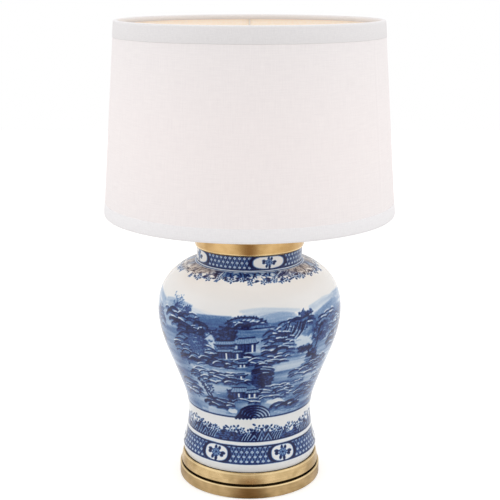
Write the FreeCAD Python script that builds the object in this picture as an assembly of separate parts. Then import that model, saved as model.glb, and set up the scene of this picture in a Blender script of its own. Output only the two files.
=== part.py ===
"""Ginger jar table lamp, as an assembly of separate pieces.

Units are millimetres. The origin is the middle of the base's underside, +Z points up
the lamp's axis and -Y faces the viewer. Every piece is one STEP file in parts/.
"""
import FreeCAD, Part

import math
import os
from collections import namedtuple

from FreeCAD import Vector

# Overall height and the fits between pieces
LAMP_HEIGHT = 715.0
GAP = 0.05  # between pieces of one body that sit against each other on a curved face
RUNNING = 0.08  # radial clearance of a shaft that turns or slides in a hole
FACE_GAP = 0.15  # between flat faces of pieces that move against each other
AXIS_FLAT = 0.6  # a turned dome ends in this small flat on the axis

# Base: a turned wooden block in two brass skins, on a felt pad
BASE_RADIUS = 111.6
BRASS_SKIN = 1.4
FELT_THICKNESS = 2.0
FELT_MARGIN = 5.0
SKIRT_BOTTOM = 0.8
SKIRT_EDGE = 0.8
SKIRT_FLANGE_INNER = 96.0
SKIRT_TOP_EDGE = 1.8
TIER_JOINT = 19.8
BASE_TOP = 39.2
GROOVE_RADIUS = 106.0
GROOVE_HEIGHT = 1.0
MOULDING_FOOT_RADIUS = 109.0
MOULDING_FOOT = 23.3
MOULDING_LEAN = (-0.07, 1.0)
MOULDING_EDGE_RADIUS = 106.4
MOULDING_EDGE = 38.4
MOULDING_INNER = 60.0
BEAD = 1.1
BLOCK_UPPER_RADIUS = 104.4
BLOCK_TOP_RADIUS = 103.0
NUT_POCKET_RADIUS = 20.0
NUT_POCKET_TOP = 14.0

# Cord outlet at the back of the base
CORD_CHANNEL = 9.0
CORD_HEIGHT = 10.4
CORD_HOLE_RADIUS = 3.6
BUSHING_WALL = 1.1
BUSHING_FLANGE_RADIUS = 6.2
BUSHING_FLANGE = 1.8
BUSHING_LENGTH = 12.0
BUSHING_COLLAR_RADIUS = 5.6
BUSHING_COLLAR = 2.5
COLLAR_ROOM = 0.3
SEAT_ROOM = 2.0

# Threaded tube that clamps the whole stack, with its nuts and washers
ROD_RADIUS = 4.9
ROD_BORE = 3.2
ROD_BOTTOM = 5.0
ROD_TOP = 416.0
ROD_ROOM = 0.3
NUT_ACROSS_FLATS = 16.0
NUT_BEVEL = 0.7
BASE_NUT = 4.0
CAP_NUT = 3.0
WASHER_RADIUS = 14.0
WASHER_THICKNESS = 1.5
LOCK_WASHER_RADIUS = 9.0
LOCK_WASHER = 1.0

# Porcelain jar
FOOT_GASKET = 1.0
FOOT_GASKET_WIDTH = 14.0
GASKET_EDGE = 0.4
JAR_BOTTOM = BASE_TOP + FOOT_GASKET
JAR_WALL = 6.0
JAR_FLOOR_BOTTOM = 50.0
JAR_FLOOR_TOP = 57.0
FOOT_RIM_WIDTH = 12.0
FOOT_RIM_SLOPE = 2.0
FLOOR_CORNER = 5.0
INSIDE_CORNER = 2.0
ROD_HOLE_RADIUS = 7.0
NECK_RADIUS = 81.4
NECK_BOTTOM = 351.0
NECK_FILLET = 1.4
MOUTH_TOP = 394.8
LIP = 1.2
JAR_OUTLINE = [
    (103.0, JAR_BOTTOM),
    (106.1, 51.0),
    (104.3, 62.0),
    (99.8, 79.0),
    (97.6, 98.0),
    (97.3, 116.0),
    (100.6, 138.0),
    (109.0, 163.0),
    (119.8, 191.0),
    (130.8, 219.0),
    (138.7, 245.0),
    (142.3, 272.0),
    (140.3, 295.0),
    (132.7, 315.5),
    (120.3, 331.0),
    (104.7, 342.8),
    (90.0, 349.2),
    (NECK_RADIUS + NECK_FILLET, NECK_BOTTOM),
]

# Brass cap on the jar's neck
CAP_RADIUS = 84.2
CAP_BOTTOM = 374.0
CAP_WALL = 1.2
CAP_ROLL = 5.0
CAP_ROLL_INSIDE = 1.7
CAP_ROLL_EDGE = 0.7
CAP_ROLL_FOOT = 1.9
CAP_ROLL_LEAN = (0.66, 0.75)
CAP_ROOM = 0.5
CAP_CORNER = 5.0
CAP_SHOULDER = 398.0
CAP_LAND = 74.0
CAP_HUB_RADIUS = 18.0
CAP_HUB_TOP = 401.5

# Harp: saddle, bowed wire, seat and threaded stud, with two loose sleeves
SADDLE_BOTTOM = CAP_HUB_TOP + WASHER_THICKNESS + CAP_NUT
SADDLE_THICKNESS = 2.0
SADDLE_WIDTH = 16.0
LEG_X = 29.0
HARP_WIRE = 1.5
POST_RADIUS = 3.3
POST_TOP = 421.0
LEG_BOTTOM = 409.0
LEG_STRAIGHT_TOP = 444.0
BOW_RADIUS = 70.0
BOW_ANGLE = math.radians(34.0)
SIDE_RADIUS = 120.0
LEAN_ANGLE = math.radians(11.0)
SEAT_RADIUS = 9.0
SEAT_THICKNESS = 3.4
SEAT_TOP = 682.5
STUD_RADIUS = 3.1
STUD_TOP = 697.0
SLEEVE_RADIUS = 4.6
SLEEVE_LENGTH = 17.0
SLEEVE_FLARE = 0.8
SLEEVE_FLARE_HEIGHT = 2.0

# Lampholder
HOLDER_BOTTOM = SADDLE_BOTTOM + SADDLE_THICKNESS
HOLDER_HUB_RADIUS = 8.0
HOLDER_HUB_HEIGHT = 4.0
HOLDER_CAP_RADIUS = 17.0
HOLDER_CAP_TOP = 428.0
HOLDER_SHELL_RADIUS = 16.4
HOLDER_OVERLAP = 4.0
HOLDER_BEAD = 1.0
HOLDER_SEAM = 0.4
HOLDER_RIM = 470.0
HOLDER_RIM_ROLL = 3.0
HOLDER_SKIN = 0.6
LINER_THICKNESS = 0.5
LINER_DROP = 1.0
HOLDER_BODY_RADIUS = 12.4
HOLDER_BODY_BOTTOM = 423.0
HOLDER_BODY_TOP = 442.0
HOLDER_BODY_FLANGE = 2.0
SCREW_SHELL_RADIUS = 14.1
SCREW_SHELL_BORE = 13.35
SCREW_SHELL_TOP = 467.0
THREAD_PITCH = 3.63
THREAD_DEPTH = 0.25
CONTACT_RADIUS = 5.0
CONTACT_BASE = 0.8
TERMINAL_DROP = 4.0
TERMINAL_SHANK = 1.5
TERMINAL_LENGTH = 7.0
TERMINAL_HEAD_RADIUS = 2.6
TERMINAL_HEAD = 1.7
TERMINAL_SLOT = 0.7

# Turn switch in the lampholder
SWITCH_HEIGHT = 434.5
SWITCH_SHAFT_RADIUS = 2.0
SWITCH_SHAFT_START = 5.0
SWITCH_END_ROOM = 1.0
KNOB_START = 24.0
KNOB_RADIUS = 6.5
KNOB_LENGTH = 13.0
KNOB_COLLAR = 3.0
KNOB_OVERLAP = 1.0
KNOB_CHAMFER = 1.0
KNOB_BORE_DEPTH = 7.0
KNOB_PLAIN = 2.0
KNOB_FLUTES = 10
KNOB_FLUTE_RADIUS = 1.4
KNOB_POINTER = 0.5

# Bulb
BULB_TIP = 445.0
BULB_CAP_BOTTOM = 449.0
BULB_CAP_TOP = 472.0
BULB_CAP_RADIUS = 12.8
BULB_THREAD_ROOT = 12.3
BULB_CAP_WALL = 0.6
BULB_THREAD_TURNS = 4
BULB_THREAD_START = 2.2
BULB_CAP_EDGE = 1.2
BULB_CAP_LIP = 1.4
BULB_CAP_SLOPE = 3.0
BULB_CAP_SLOPE_INSIDE = 2.6
BULB_COLLAR = 3.5
BULB_COLLAR_FLARE = 0.3
BULB_NECK_ROOM = 0.1
BULB_NECK = 13.2
BULB_RADIUS = 30.0
BULB_WIDEST = 525.0
BULB_SIDE = [
    (BULB_NECK, 0.0), (13.4, 6.0), (14.9, 14.0), (18.6, 23.0), (23.2, 31.5), (27.0, 39.5),
    (29.2, 46.5), (BULB_RADIUS, BULB_WIDEST - BULB_CAP_TOP),
]
GLASS_WALL = 0.8
TIP_RADIUS = 3.5
TIP_DOME = 1.6
TIP_DEPTH = 1.0
INSULATOR_RADIUS = 10.4
INSULATOR_NOSE = 2.4
INSULATOR_NOSE_WALL = 1.6
INSULATOR_SLOPE = 0.4
INSULATOR_SEAT = 2.0
STEM_BOTTOM = 473.0
STEM_TOP = 505.0
STEM_RADIUS = 2.6
STEM_FLARE_HEIGHT = 14.0
LEAD_ROOT = 1.3
LEAD_SPREAD = 12.0
COIL_LEVEL = 524.0
LEAD_WIRE = 0.4
COIL_RADIUS = 0.7

# Shade
SHADE_BOTTOM = 426.5
SHADE_BOTTOM_RADIUS = 221.0
SHADE_TOP_RADIUS = 199.6
SHADE_EDGE_ROOM = 2.6
FABRIC = 0.6
FILM = 0.4
HEM = 0.5
HEM_ROLL = 2.3
HEM_FLAP = 8.0
TOP_HEM_HEIGHT = 24.5
BOTTOM_HEM_HEIGHT = 20.5
FRAME_WIRE = 1.8
RING_INSET = 3.6
STRUT_ANGLES = (60.0, 180.0, 300.0)
CARRIER_WASHER_RADIUS = 14.0
CARRIER_WASHER_THICKNESS = 2.0
CARRIER_HOLE_ROOM = 0.3
ARM_WIRE = 1.7

# Finial
FINIAL_RADIUS = 8.5
FINIAL_TOP = 704.5
FINIAL_WAIST = 6.6
FINIAL_COLLAR = 3.0
FINIAL_ROOM = 1.0
FINIAL_BUSH_RADIUS = 5.5
FINIAL_BUSH_LENGTH = 11.0

UP = Vector(0, 0, 1)
FORWARD = Vector(0, -1, 0)
BACKWARD = Vector(0, 1, 0)

Bend = namedtuple("Bend", "leaving end")  # an arc that leaves its start along a direction


def save(name, *solids):
    """Write one piece, or one group of alike pieces, as a STEP file."""
    shape = solids[0] if len(solids) == 1 else Part.Compound(list(solids))
    volume = sum(solid.Volume for solid in shape.Solids) / 1000
    print(f"{name:18} solids {len(shape.Solids)}  valid {shape.isValid()}  {volume:9.2f} cm3")
    shape.exportStep(f"parts/{name}.step")


def at(radius, height):
    """A point of the half plane that is turned about the lamp's axis."""
    return Vector(radius, 0, height)


def middle_of(start, leaving, end):
    """Middle point of the arc that leaves start along a direction and reaches end."""
    chord = (end[0] - start[0], end[1] - start[1])
    turn = math.atan2(leaving[1], leaving[0]) - math.atan2(chord[1], chord[0])
    rise = math.tan(math.remainder(turn, 2 * math.pi) / 2) / 2
    return ((start[0] + end[0]) / 2 - chord[1] * rise, (start[1] + end[1]) / 2 + chord[0] * rise)


def path_edges(steps, side=1):
    """Edges from the first point through the steps; a Bend is an arc, a point a straight."""
    edges = []
    start = steps[0]
    for step in steps[1:]:
        end = step.end if isinstance(step, Bend) else step
        first, last = at(side * start[0], start[1]), at(side * end[0], end[1])
        if isinstance(step, Bend):
            middle = middle_of(start, step.leaving, end)
            edges.append(Part.Arc(first, at(side * middle[0], middle[1]), last).toShape())
        elif (last - first).Length > 1e-6:
            edges.append(Part.LineSegment(first, last).toShape())
        start = end
    return edges


def turned_edges(edges):
    """A solid of revolution from edges that close an outline."""
    face = Part.Face(Part.Wire(Part.sortEdges(edges)[0]))
    return face.revolve(Vector(0, 0, 0), UP, 360)


def turned(steps):
    """A solid of revolution from a closed run of points and bends."""
    return turned_edges(path_edges(steps + steps[:1]))


def ring(outer, inner, bottom, top):
    """A plain flat ring or tube."""
    return turned([(inner, bottom), (outer, bottom), (outer, top), (inner, top)])


def rod_between(start, end, radius):
    """A round bar from one point to another."""
    along = end - start
    return Part.makeCylinder(radius, along.Length, start, along)


def spline(points):
    """A smooth curve through points of the turned half plane."""
    curve = Part.BSplineCurve()
    curve.interpolate([at(*point) for point in points])
    return curve.toShape()


def moved_in(points, wall):
    """Inner points of an outline moved in by a wall thickness, square to the outline."""
    inside = []
    for before, here, after in zip(points, points[1:], points[2:]):
        dr, dz = after[0] - before[0], after[1] - before[1]
        length = math.hypot(dr, dz)
        inside.append((here[0] - wall * dz / length, here[1] + wall * dr / length))
    return inside


def hexagon_nut(bottom, height, hole):
    """A hexagon nut on the lamp's axis, with its corners bevelled."""
    corner = NUT_ACROSS_FLATS / math.sqrt(3)
    points = [
        Vector(corner * math.cos(math.radians(turn)), corner * math.sin(math.radians(turn)), bottom)
        for turn in range(0, 420, 60)
    ]
    body = Part.Face(Part.makePolygon(points)).extrude(Vector(0, 0, height))
    top = bottom + height
    blank = turned([
        (hole, bottom), (corner - NUT_BEVEL, bottom), (corner, bottom + NUT_BEVEL),
        (corner, top - NUT_BEVEL), (corner - NUT_BEVEL, top), (hole, top),
    ])
    return body.common(blank)


def on_circle(radius, degrees, height):
    """A point at an angle from the lamp's front, counted towards the viewer's right."""
    angle = math.radians(degrees)
    return Vector(radius * math.sin(angle), -radius * math.cos(angle), height)


def felt_pad():
    """Felt ring under the base; its hole leaves the nut in reach."""
    save("felt_pad", ring(BASE_RADIUS - FELT_MARGIN, NUT_POCKET_RADIUS, 0, FELT_THICKNESS))


def base_block():
    """Turned block that fills both brass tiers, with a nut pocket and a cord channel."""
    hole = ROD_RADIUS + ROD_ROOM
    lower = BASE_RADIUS - BRASS_SKIN - GAP
    under_flange = TIER_JOINT - BRASS_SKIN
    inside_flange = SKIRT_FLANGE_INNER - GAP
    top = BASE_TOP - BRASS_SKIN
    block = turned([
        (hole, FELT_THICKNESS), (lower, FELT_THICKNESS), (lower, under_flange),
        (inside_flange, under_flange), (inside_flange, TIER_JOINT), (BLOCK_UPPER_RADIUS, TIER_JOINT),
        (BLOCK_UPPER_RADIUS, MOULDING_FOOT), (BLOCK_TOP_RADIUS, top), (hole, top),
    ])
    pocket = Part.makeCylinder(NUT_POCKET_RADIUS, NUT_POCKET_TOP)
    channel = Part.makeBox(
        CORD_CHANNEL, BASE_RADIUS, CORD_HEIGHT + CORD_CHANNEL / 2, Vector(-CORD_CHANNEL / 2, 0, 0)
    )
    seat_depth = BUSHING_LENGTH + SEAT_ROOM
    bushing_seat = Part.makeCylinder(
        BUSHING_FLANGE_RADIUS + ROD_ROOM, 2 * seat_depth,
        Vector(0, BASE_RADIUS - seat_depth, CORD_HEIGHT), BACKWARD,
    )
    save("base_block", block.cut([pocket, channel, bushing_seat]))


def base_skirt():
    """Lower brass tier: an upright band with a flange turned in over the block."""
    inner = BASE_RADIUS - BRASS_SKIN
    band = turned([
        (inner, SKIRT_BOTTOM), (BASE_RADIUS - SKIRT_EDGE, SKIRT_BOTTOM),
        Bend((1, 0), (BASE_RADIUS, SKIRT_BOTTOM + SKIRT_EDGE)), (BASE_RADIUS, TIER_JOINT - SKIRT_TOP_EDGE),
        Bend((0, 1), (BASE_RADIUS - SKIRT_TOP_EDGE, TIER_JOINT)),
        (SKIRT_FLANGE_INNER, TIER_JOINT), (SKIRT_FLANGE_INNER, TIER_JOINT - BRASS_SKIN),
        (inner, TIER_JOINT - BRASS_SKIN),
    ])
    hole = Part.makeCylinder(
        CORD_HOLE_RADIUS + BUSHING_WALL + GAP, 4 * BRASS_SKIN,
        Vector(0, BASE_RADIUS - 3 * BRASS_SKIN, CORD_HEIGHT), BACKWARD,
    )
    save("base_skirt", band.cut(hole))


def base_moulding():
    """Upper brass tier: a groove over the skirt, a sloping face with a bead, and a flat top."""
    lower_top = BASE_TOP - BRASS_SKIN
    over_groove = TIER_JOINT + GROOVE_HEIGHT
    bead_inner = MOULDING_EDGE_RADIUS - 2 * BEAD
    save("base_moulding", turned([
        (GROOVE_RADIUS - BRASS_SKIN, TIER_JOINT), (GROOVE_RADIUS, TIER_JOINT), (GROOVE_RADIUS, over_groove),
        Bend((1, 0), (MOULDING_FOOT_RADIUS, MOULDING_FOOT)),
        Bend(MOULDING_LEAN, (MOULDING_EDGE_RADIUS, MOULDING_EDGE)),
        (MOULDING_EDGE_RADIUS, BASE_TOP), Bend((0, 1), (MOULDING_EDGE_RADIUS - BEAD, BASE_TOP + BEAD)),
        Bend((-1, 0), (bead_inner, BASE_TOP)), (MOULDING_INNER, BASE_TOP),
        (MOULDING_INNER, lower_top), (MOULDING_EDGE_RADIUS - BRASS_SKIN, lower_top),
        (MOULDING_FOOT_RADIUS - BRASS_SKIN, MOULDING_FOOT),
        (GROOVE_RADIUS - BRASS_SKIN, over_groove + BRASS_SKIN),
    ]))


def cord_bushing():
    """Bushing at the back of the base, where a mains lead comes out."""
    face = BASE_RADIUS + BUSHING_FLANGE
    collar_end = BASE_RADIUS - BRASS_SKIN - COLLAR_ROOM

    def round_piece(radius, length, end):
        """A cylinder along the outlet's axis that ends at a distance from the lamp's axis."""
        return Part.makeCylinder(radius, length, Vector(0, end - length, CORD_HEIGHT), BACKWARD)
    tube = round_piece(CORD_HOLE_RADIUS + BUSHING_WALL, BUSHING_LENGTH, face)
    flange = round_piece(BUSHING_FLANGE_RADIUS, BUSHING_FLANGE - GAP, face)
    collar = round_piece(BUSHING_COLLAR_RADIUS, BUSHING_COLLAR, collar_end)
    bore = round_piece(CORD_HOLE_RADIUS, 3 * BUSHING_LENGTH, face + BUSHING_LENGTH)
    save("cord_bushing", tube.fuse([flange, collar]).cut(bore).removeSplitter())


def clamp_stack():
    """Threaded tube through the lamp, with the nuts and washers that draw it together."""
    hole = ROD_RADIUS + GAP
    washer_bottom = NUT_POCKET_TOP - WASHER_THICKNESS
    lock_bottom = washer_bottom - LOCK_WASHER
    cap_nut_bottom = CAP_HUB_TOP + WASHER_THICKNESS
    save("threaded_rod", ring(ROD_RADIUS, ROD_BORE, ROD_BOTTOM, ROD_TOP))
    save(
        "rod_washers", ring(WASHER_RADIUS, hole, washer_bottom, NUT_POCKET_TOP),
        ring(WASHER_RADIUS, hole, CAP_HUB_TOP, cap_nut_bottom),
    )
    save("lock_washer", ring(LOCK_WASHER_RADIUS, hole, lock_bottom, washer_bottom))
    save("base_nut", hexagon_nut(lock_bottom - BASE_NUT, BASE_NUT, hole))
    save("cap_nut", hexagon_nut(cap_nut_bottom, CAP_NUT, hole))


def gaskets():
    """Rubber rings under the jar's foot and on its mouth."""
    foot_outer = JAR_OUTLINE[0][0] + GASKET_EDGE
    neck_outer = CAP_RADIUS - CAP_CORNER - GAP
    neck_inner = NECK_RADIUS - JAR_WALL + GASKET_EDGE
    save("foot_gasket", ring(foot_outer, foot_outer - FOOT_GASKET_WIDTH, BASE_TOP, JAR_BOTTOM))
    save("neck_gasket", ring(neck_outer, neck_inner, MOUTH_TOP, CAP_SHOULDER - CAP_WALL))


def jar():
    """Hollow porcelain jar: foot rim, floor with a rod hole, body, neck and open mouth."""
    mouth_inner = NECK_RADIUS - JAR_WALL
    foot_inner = JAR_OUTLINE[0][0] - FOOT_RIM_WIDTH
    inside = [
        point for point in moved_in(JAR_OUTLINE, JAR_WALL) if point[1] > JAR_FLOOR_TOP + INSIDE_CORNER
    ]
    lowest, highest = inside[0], inside[-1]
    neck_and_mouth = [
        JAR_OUTLINE[-1], Bend((-1, 0), (NECK_RADIUS, NECK_BOTTOM + NECK_FILLET)),
        (NECK_RADIUS, MOUTH_TOP - LIP), Bend((0, 1), (NECK_RADIUS - LIP, MOUTH_TOP)),
        (mouth_inner + LIP, MOUTH_TOP), Bend((-1, 0), (mouth_inner, MOUTH_TOP - LIP)),
        (mouth_inner, NECK_BOTTOM - JAR_WALL + INSIDE_CORNER), highest,
    ]
    floor_and_foot = [
        lowest, (lowest[0] - FLOOR_CORNER, JAR_FLOOR_TOP), (ROD_HOLE_RADIUS, JAR_FLOOR_TOP),
        (ROD_HOLE_RADIUS, JAR_FLOOR_BOTTOM), (foot_inner, JAR_FLOOR_BOTTOM),
        (foot_inner + FOOT_RIM_SLOPE, JAR_BOTTOM), JAR_OUTLINE[0],
    ]
    edges = path_edges(neck_and_mouth) + path_edges(floor_and_foot)
    edges += [spline(JAR_OUTLINE), spline(inside)]
    save("jar", turned_edges(edges))


def neck_cap():
    """Spun brass cap: a skirt over the jar's neck and a shallow dome, with a rolled edge."""
    inner = CAP_RADIUS - CAP_WALL
    hole = ROD_RADIUS + GAP
    roll_inner = NECK_RADIUS + CAP_ROOM
    save("neck_cap", turned([
        (roll_inner, CAP_BOTTOM + CAP_ROLL_EDGE), Bend((0.6, -1), (CAP_RADIUS - CAP_ROLL_FOOT, CAP_BOTTOM)),
        Bend(CAP_ROLL_LEAN, (CAP_RADIUS, CAP_BOTTOM + CAP_ROLL)), (CAP_RADIUS, CAP_SHOULDER - CAP_CORNER),
        Bend((0, 1), (CAP_RADIUS - CAP_CORNER, CAP_SHOULDER)), (CAP_LAND, CAP_SHOULDER),
        Bend((-1, 0.09), (CAP_HUB_RADIUS, CAP_HUB_TOP)), (hole, CAP_HUB_TOP),
        (hole, CAP_HUB_TOP - CAP_WALL), (CAP_HUB_RADIUS, CAP_HUB_TOP - CAP_WALL),
        Bend((1, -0.035), (CAP_LAND, CAP_SHOULDER - CAP_WALL)),
        (CAP_RADIUS - CAP_CORNER, CAP_SHOULDER - CAP_WALL),
        Bend((1, 0), (inner, CAP_SHOULDER - CAP_CORNER)), (inner, CAP_BOTTOM + CAP_ROLL),
        (roll_inner, CAP_BOTTOM + CAP_ROLL_INSIDE),
    ]))


def harp_centreline():
    """Points and bends of the harp's right side, from its foot to the seat.

    The lean's length and the top bend are worked out so that the wire meets the seat level.
    """
    seat_x, seat_level = SEAT_RADIUS - 2.0, SEAT_TOP - SEAT_THICKNESS / 2
    bow_end = (
        LEG_X + BOW_RADIUS * (1 - math.cos(BOW_ANGLE)),
        LEG_STRAIGHT_TOP + BOW_RADIUS * math.sin(BOW_ANGLE),
    )
    lean_start = (
        bow_end[0] + SIDE_RADIUS * (math.cos(LEAN_ANGLE) - math.cos(BOW_ANGLE)),
        bow_end[1] + SIDE_RADIUS * (math.sin(LEAN_ANGLE) + math.sin(BOW_ANGLE)),
    )
    sine, cosine = math.sin(LEAN_ANGLE), math.cos(LEAN_ANGLE)
    across, rise = lean_start[0] - seat_x, seat_level - lean_start[1]
    top_radius = (rise * sine - across * cosine) / ((1 - sine) * sine - cosine * cosine)
    lean = (across - top_radius * cosine) / sine
    top_start = (lean_start[0] - lean * sine, lean_start[1] + lean * cosine)
    return [
        (LEG_X, LEG_BOTTOM), (LEG_X, LEG_STRAIGHT_TOP), Bend((0, 1), bow_end),
        Bend((math.sin(BOW_ANGLE), math.cos(BOW_ANGLE)), lean_start), top_start,
        Bend((-sine, cosine), (seat_x, seat_level)),
    ]


def harp():
    """Bent wire bow that carries the shade, with its seat and threaded stud."""
    sides = []
    for side in (-1, 1):
        path = Part.Wire(path_edges(harp_centreline(), side))
        section = Part.Wire(Part.makeCircle(HARP_WIRE, at(side * LEG_X, LEG_BOTTOM), UP))
        sides.append(path.makePipeShell([section], True, False))
    seat = Part.makeCylinder(SEAT_RADIUS, SEAT_THICKNESS, at(0, SEAT_TOP - SEAT_THICKNESS))
    stud = Part.makeCylinder(STUD_RADIUS, STUD_TOP - SEAT_TOP, at(0, SEAT_TOP))
    save("harp", sides[0].fuse([sides[1], seat, stud]).removeSplitter())


def harp_saddle():
    """Pressed bracket under the lampholder, with a hollow post for each harp leg."""
    strip = Part.makeBox(
        2 * LEG_X, SADDLE_WIDTH, SADDLE_THICKNESS, Vector(-LEG_X, -SADDLE_WIDTH / 2, SADDLE_BOTTOM)
    )
    added, removed = [], []
    for side in (-1, 1):
        foot = at(side * LEG_X, SADDLE_BOTTOM)
        added.append(Part.makeCylinder(SADDLE_WIDTH / 2, SADDLE_THICKNESS, foot))
        added.append(Part.makeCylinder(POST_RADIUS, POST_TOP - SADDLE_BOTTOM, foot))
        removed.append(Part.makeCylinder(HARP_WIRE + GAP, POST_TOP, at(side * LEG_X, LEG_BOTTOM)))
    removed.append(Part.makeCylinder(ROD_RADIUS + GAP, 2 * SADDLE_THICKNESS, at(0, SADDLE_BOTTOM)))
    save("harp_saddle", strip.fuse(added).cut(removed).removeSplitter())


def harp_sleeves():
    """Loose sleeves that slide down the harp's legs and lock them in the saddle's posts."""
    bottom = HOLDER_BOTTOM + FACE_GAP
    for name, side in (("sleeve_left", -1), ("sleeve_right", 1)):
        foot = at(side * LEG_X, bottom)
        body = Part.makeCylinder(SLEEVE_RADIUS, SLEEVE_LENGTH, foot)
        flare = Part.makeCylinder(SLEEVE_RADIUS + SLEEVE_FLARE, SLEEVE_FLARE_HEIGHT, foot)
        pocket = Part.makeCylinder(POST_RADIUS + RUNNING, POST_TOP + FACE_GAP - bottom, foot)
        wire_hole = Part.makeCylinder(HARP_WIRE + RUNNING, 2 * SLEEVE_LENGTH, foot)
        save(name, body.fuse(flare).cut([pocket, wire_hole]).removeSplitter())


def holder_cap():
    """Domed lower half of the lampholder's brass case, on the threaded tube."""
    outer, inner = HOLDER_CAP_RADIUS, HOLDER_CAP_RADIUS - HOLDER_SKIN
    hub_top = HOLDER_BOTTOM + HOLDER_HUB_HEIGHT
    dome_top = hub_top + outer - HOLDER_HUB_RADIUS
    hole = ROD_RADIUS + GAP
    save("holder_cap", turned([
        (hole, HOLDER_BOTTOM), (HOLDER_HUB_RADIUS, HOLDER_BOTTOM), (HOLDER_HUB_RADIUS, hub_top),
        Bend((1, 0), (outer, dome_top)), (outer, HOLDER_CAP_TOP), (inner, HOLDER_CAP_TOP),
        (inner, dome_top), Bend((0, -1), (HOLDER_HUB_RADIUS, hub_top + HOLDER_SKIN)),
        (hole, hub_top + HOLDER_SKIN),
    ]))


def switch_hole(radius):
    """Bar along the switch's axis that bores its hole through the lampholder."""
    start = Vector(0, SWITCH_END_ROOM - SWITCH_SHAFT_START, SWITCH_HEIGHT)
    return Part.makeCylinder(radius, KNOB_START, start, FORWARD)


def holder_shell():
    """Upper half of the brass case, with a bead above the joint and a rolled rim."""
    outer, inner = HOLDER_SHELL_RADIUS, HOLDER_SHELL_RADIUS - HOLDER_SKIN
    bottom = HOLDER_CAP_TOP - HOLDER_OVERLAP
    bead = HOLDER_CAP_TOP + HOLDER_SEAM
    rim_start = HOLDER_RIM - HOLDER_RIM_ROLL
    body = turned([
        (inner, bottom), (outer - GAP, bottom), (outer - GAP, bead),
        Bend((1, 0), (outer + HOLDER_BEAD, bead + HOLDER_BEAD)),
        Bend((0, 1), (outer, bead + 2 * HOLDER_BEAD)), (outer, rim_start),
        Bend((1, 0.4), (outer, HOLDER_RIM)), (inner, HOLDER_RIM),
    ])
    save("holder_shell", body.cut(switch_hole(SWITCH_SHAFT_RADIUS + RUNNING)))


def holder_inside():
    """Fibre liner, moulded body, screw shell, contact and terminal screws."""
    liner_outer = HOLDER_SHELL_RADIUS - HOLDER_SKIN - GAP
    liner_inner = liner_outer - LINER_THICKNESS
    liner = ring(liner_outer, liner_inner, HOLDER_CAP_TOP - HOLDER_OVERLAP, HOLDER_RIM - LINER_DROP)
    save("holder_liner", liner.cut(switch_hole(SWITCH_SHAFT_RADIUS + RUNNING)))
    flange = HOLDER_BODY_TOP - HOLDER_BODY_FLANGE
    rim = liner_inner - GAP
    body = turned([
        (0, HOLDER_BODY_BOTTOM), (HOLDER_BODY_RADIUS, HOLDER_BODY_BOTTOM), (HOLDER_BODY_RADIUS, flange),
        (rim, flange), (rim, HOLDER_BODY_TOP), (0, HOLDER_BODY_TOP),
    ]).cut(switch_hole(SWITCH_SHAFT_RADIUS + RUNNING))
    screws = []
    level = SWITCH_HEIGHT - TERMINAL_DROP
    for side in (-1, 1):
        outwards = Vector(side, 0, 0)
        inner = at(side * (HOLDER_BODY_RADIUS - TERMINAL_LENGTH), level)
        shank = Part.makeCylinder(TERMINAL_SHANK, TERMINAL_LENGTH, inner, outwards)
        face = at(side * HOLDER_BODY_RADIUS, level)
        head = Part.makeCylinder(TERMINAL_HEAD_RADIUS, TERMINAL_HEAD, face, outwards)
        slot = Part.makeBox(
            TERMINAL_SLOT, TERMINAL_SLOT, 3 * TERMINAL_HEAD_RADIUS,
            Vector(side * (HOLDER_BODY_RADIUS + TERMINAL_HEAD) - TERMINAL_SLOT / 2, -TERMINAL_SLOT / 2,
                   level - 1.5 * TERMINAL_HEAD_RADIUS),
        )
        body = body.cut(Part.makeCylinder(TERMINAL_SHANK + GAP, TERMINAL_LENGTH, inner, outwards))
        screws.append(shank.fuse(head).cut(slot).removeSplitter())
    save("holder_body", body)
    save("terminal_screws", *screws)
    save("screw_shell", screw_shell())
    save("centre_contact", turned([
        (0, HOLDER_BODY_TOP), (CONTACT_RADIUS, HOLDER_BODY_TOP),
        (CONTACT_RADIUS, HOLDER_BODY_TOP + CONTACT_BASE),
        (AXIS_FLAT, BULB_TIP - FACE_GAP), (0, BULB_TIP - FACE_GAP),
    ]))


def screw_shell():
    """Metal sleeve whose bore carries the round ridges of a bulb thread."""
    length = SCREW_SHELL_TOP - HOLDER_BODY_TOP
    turns = int(length / THREAD_PITCH)
    height = SCREW_SHELL_TOP - (length - turns * THREAD_PITCH) / 2
    steps = [(SCREW_SHELL_RADIUS, HOLDER_BODY_TOP), (SCREW_SHELL_RADIUS, SCREW_SHELL_TOP),
             (SCREW_SHELL_BORE, SCREW_SHELL_TOP), (SCREW_SHELL_BORE, height)]
    for _ in range(turns):
        height -= THREAD_PITCH
        ridge = (SCREW_SHELL_BORE - THREAD_DEPTH, height + THREAD_PITCH / 2)
        steps += [Bend((-0.55, -1), ridge), Bend((0, -1), (SCREW_SHELL_BORE, height))]
    return turned(steps + [(SCREW_SHELL_BORE, HOLDER_BODY_TOP)])


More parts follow.
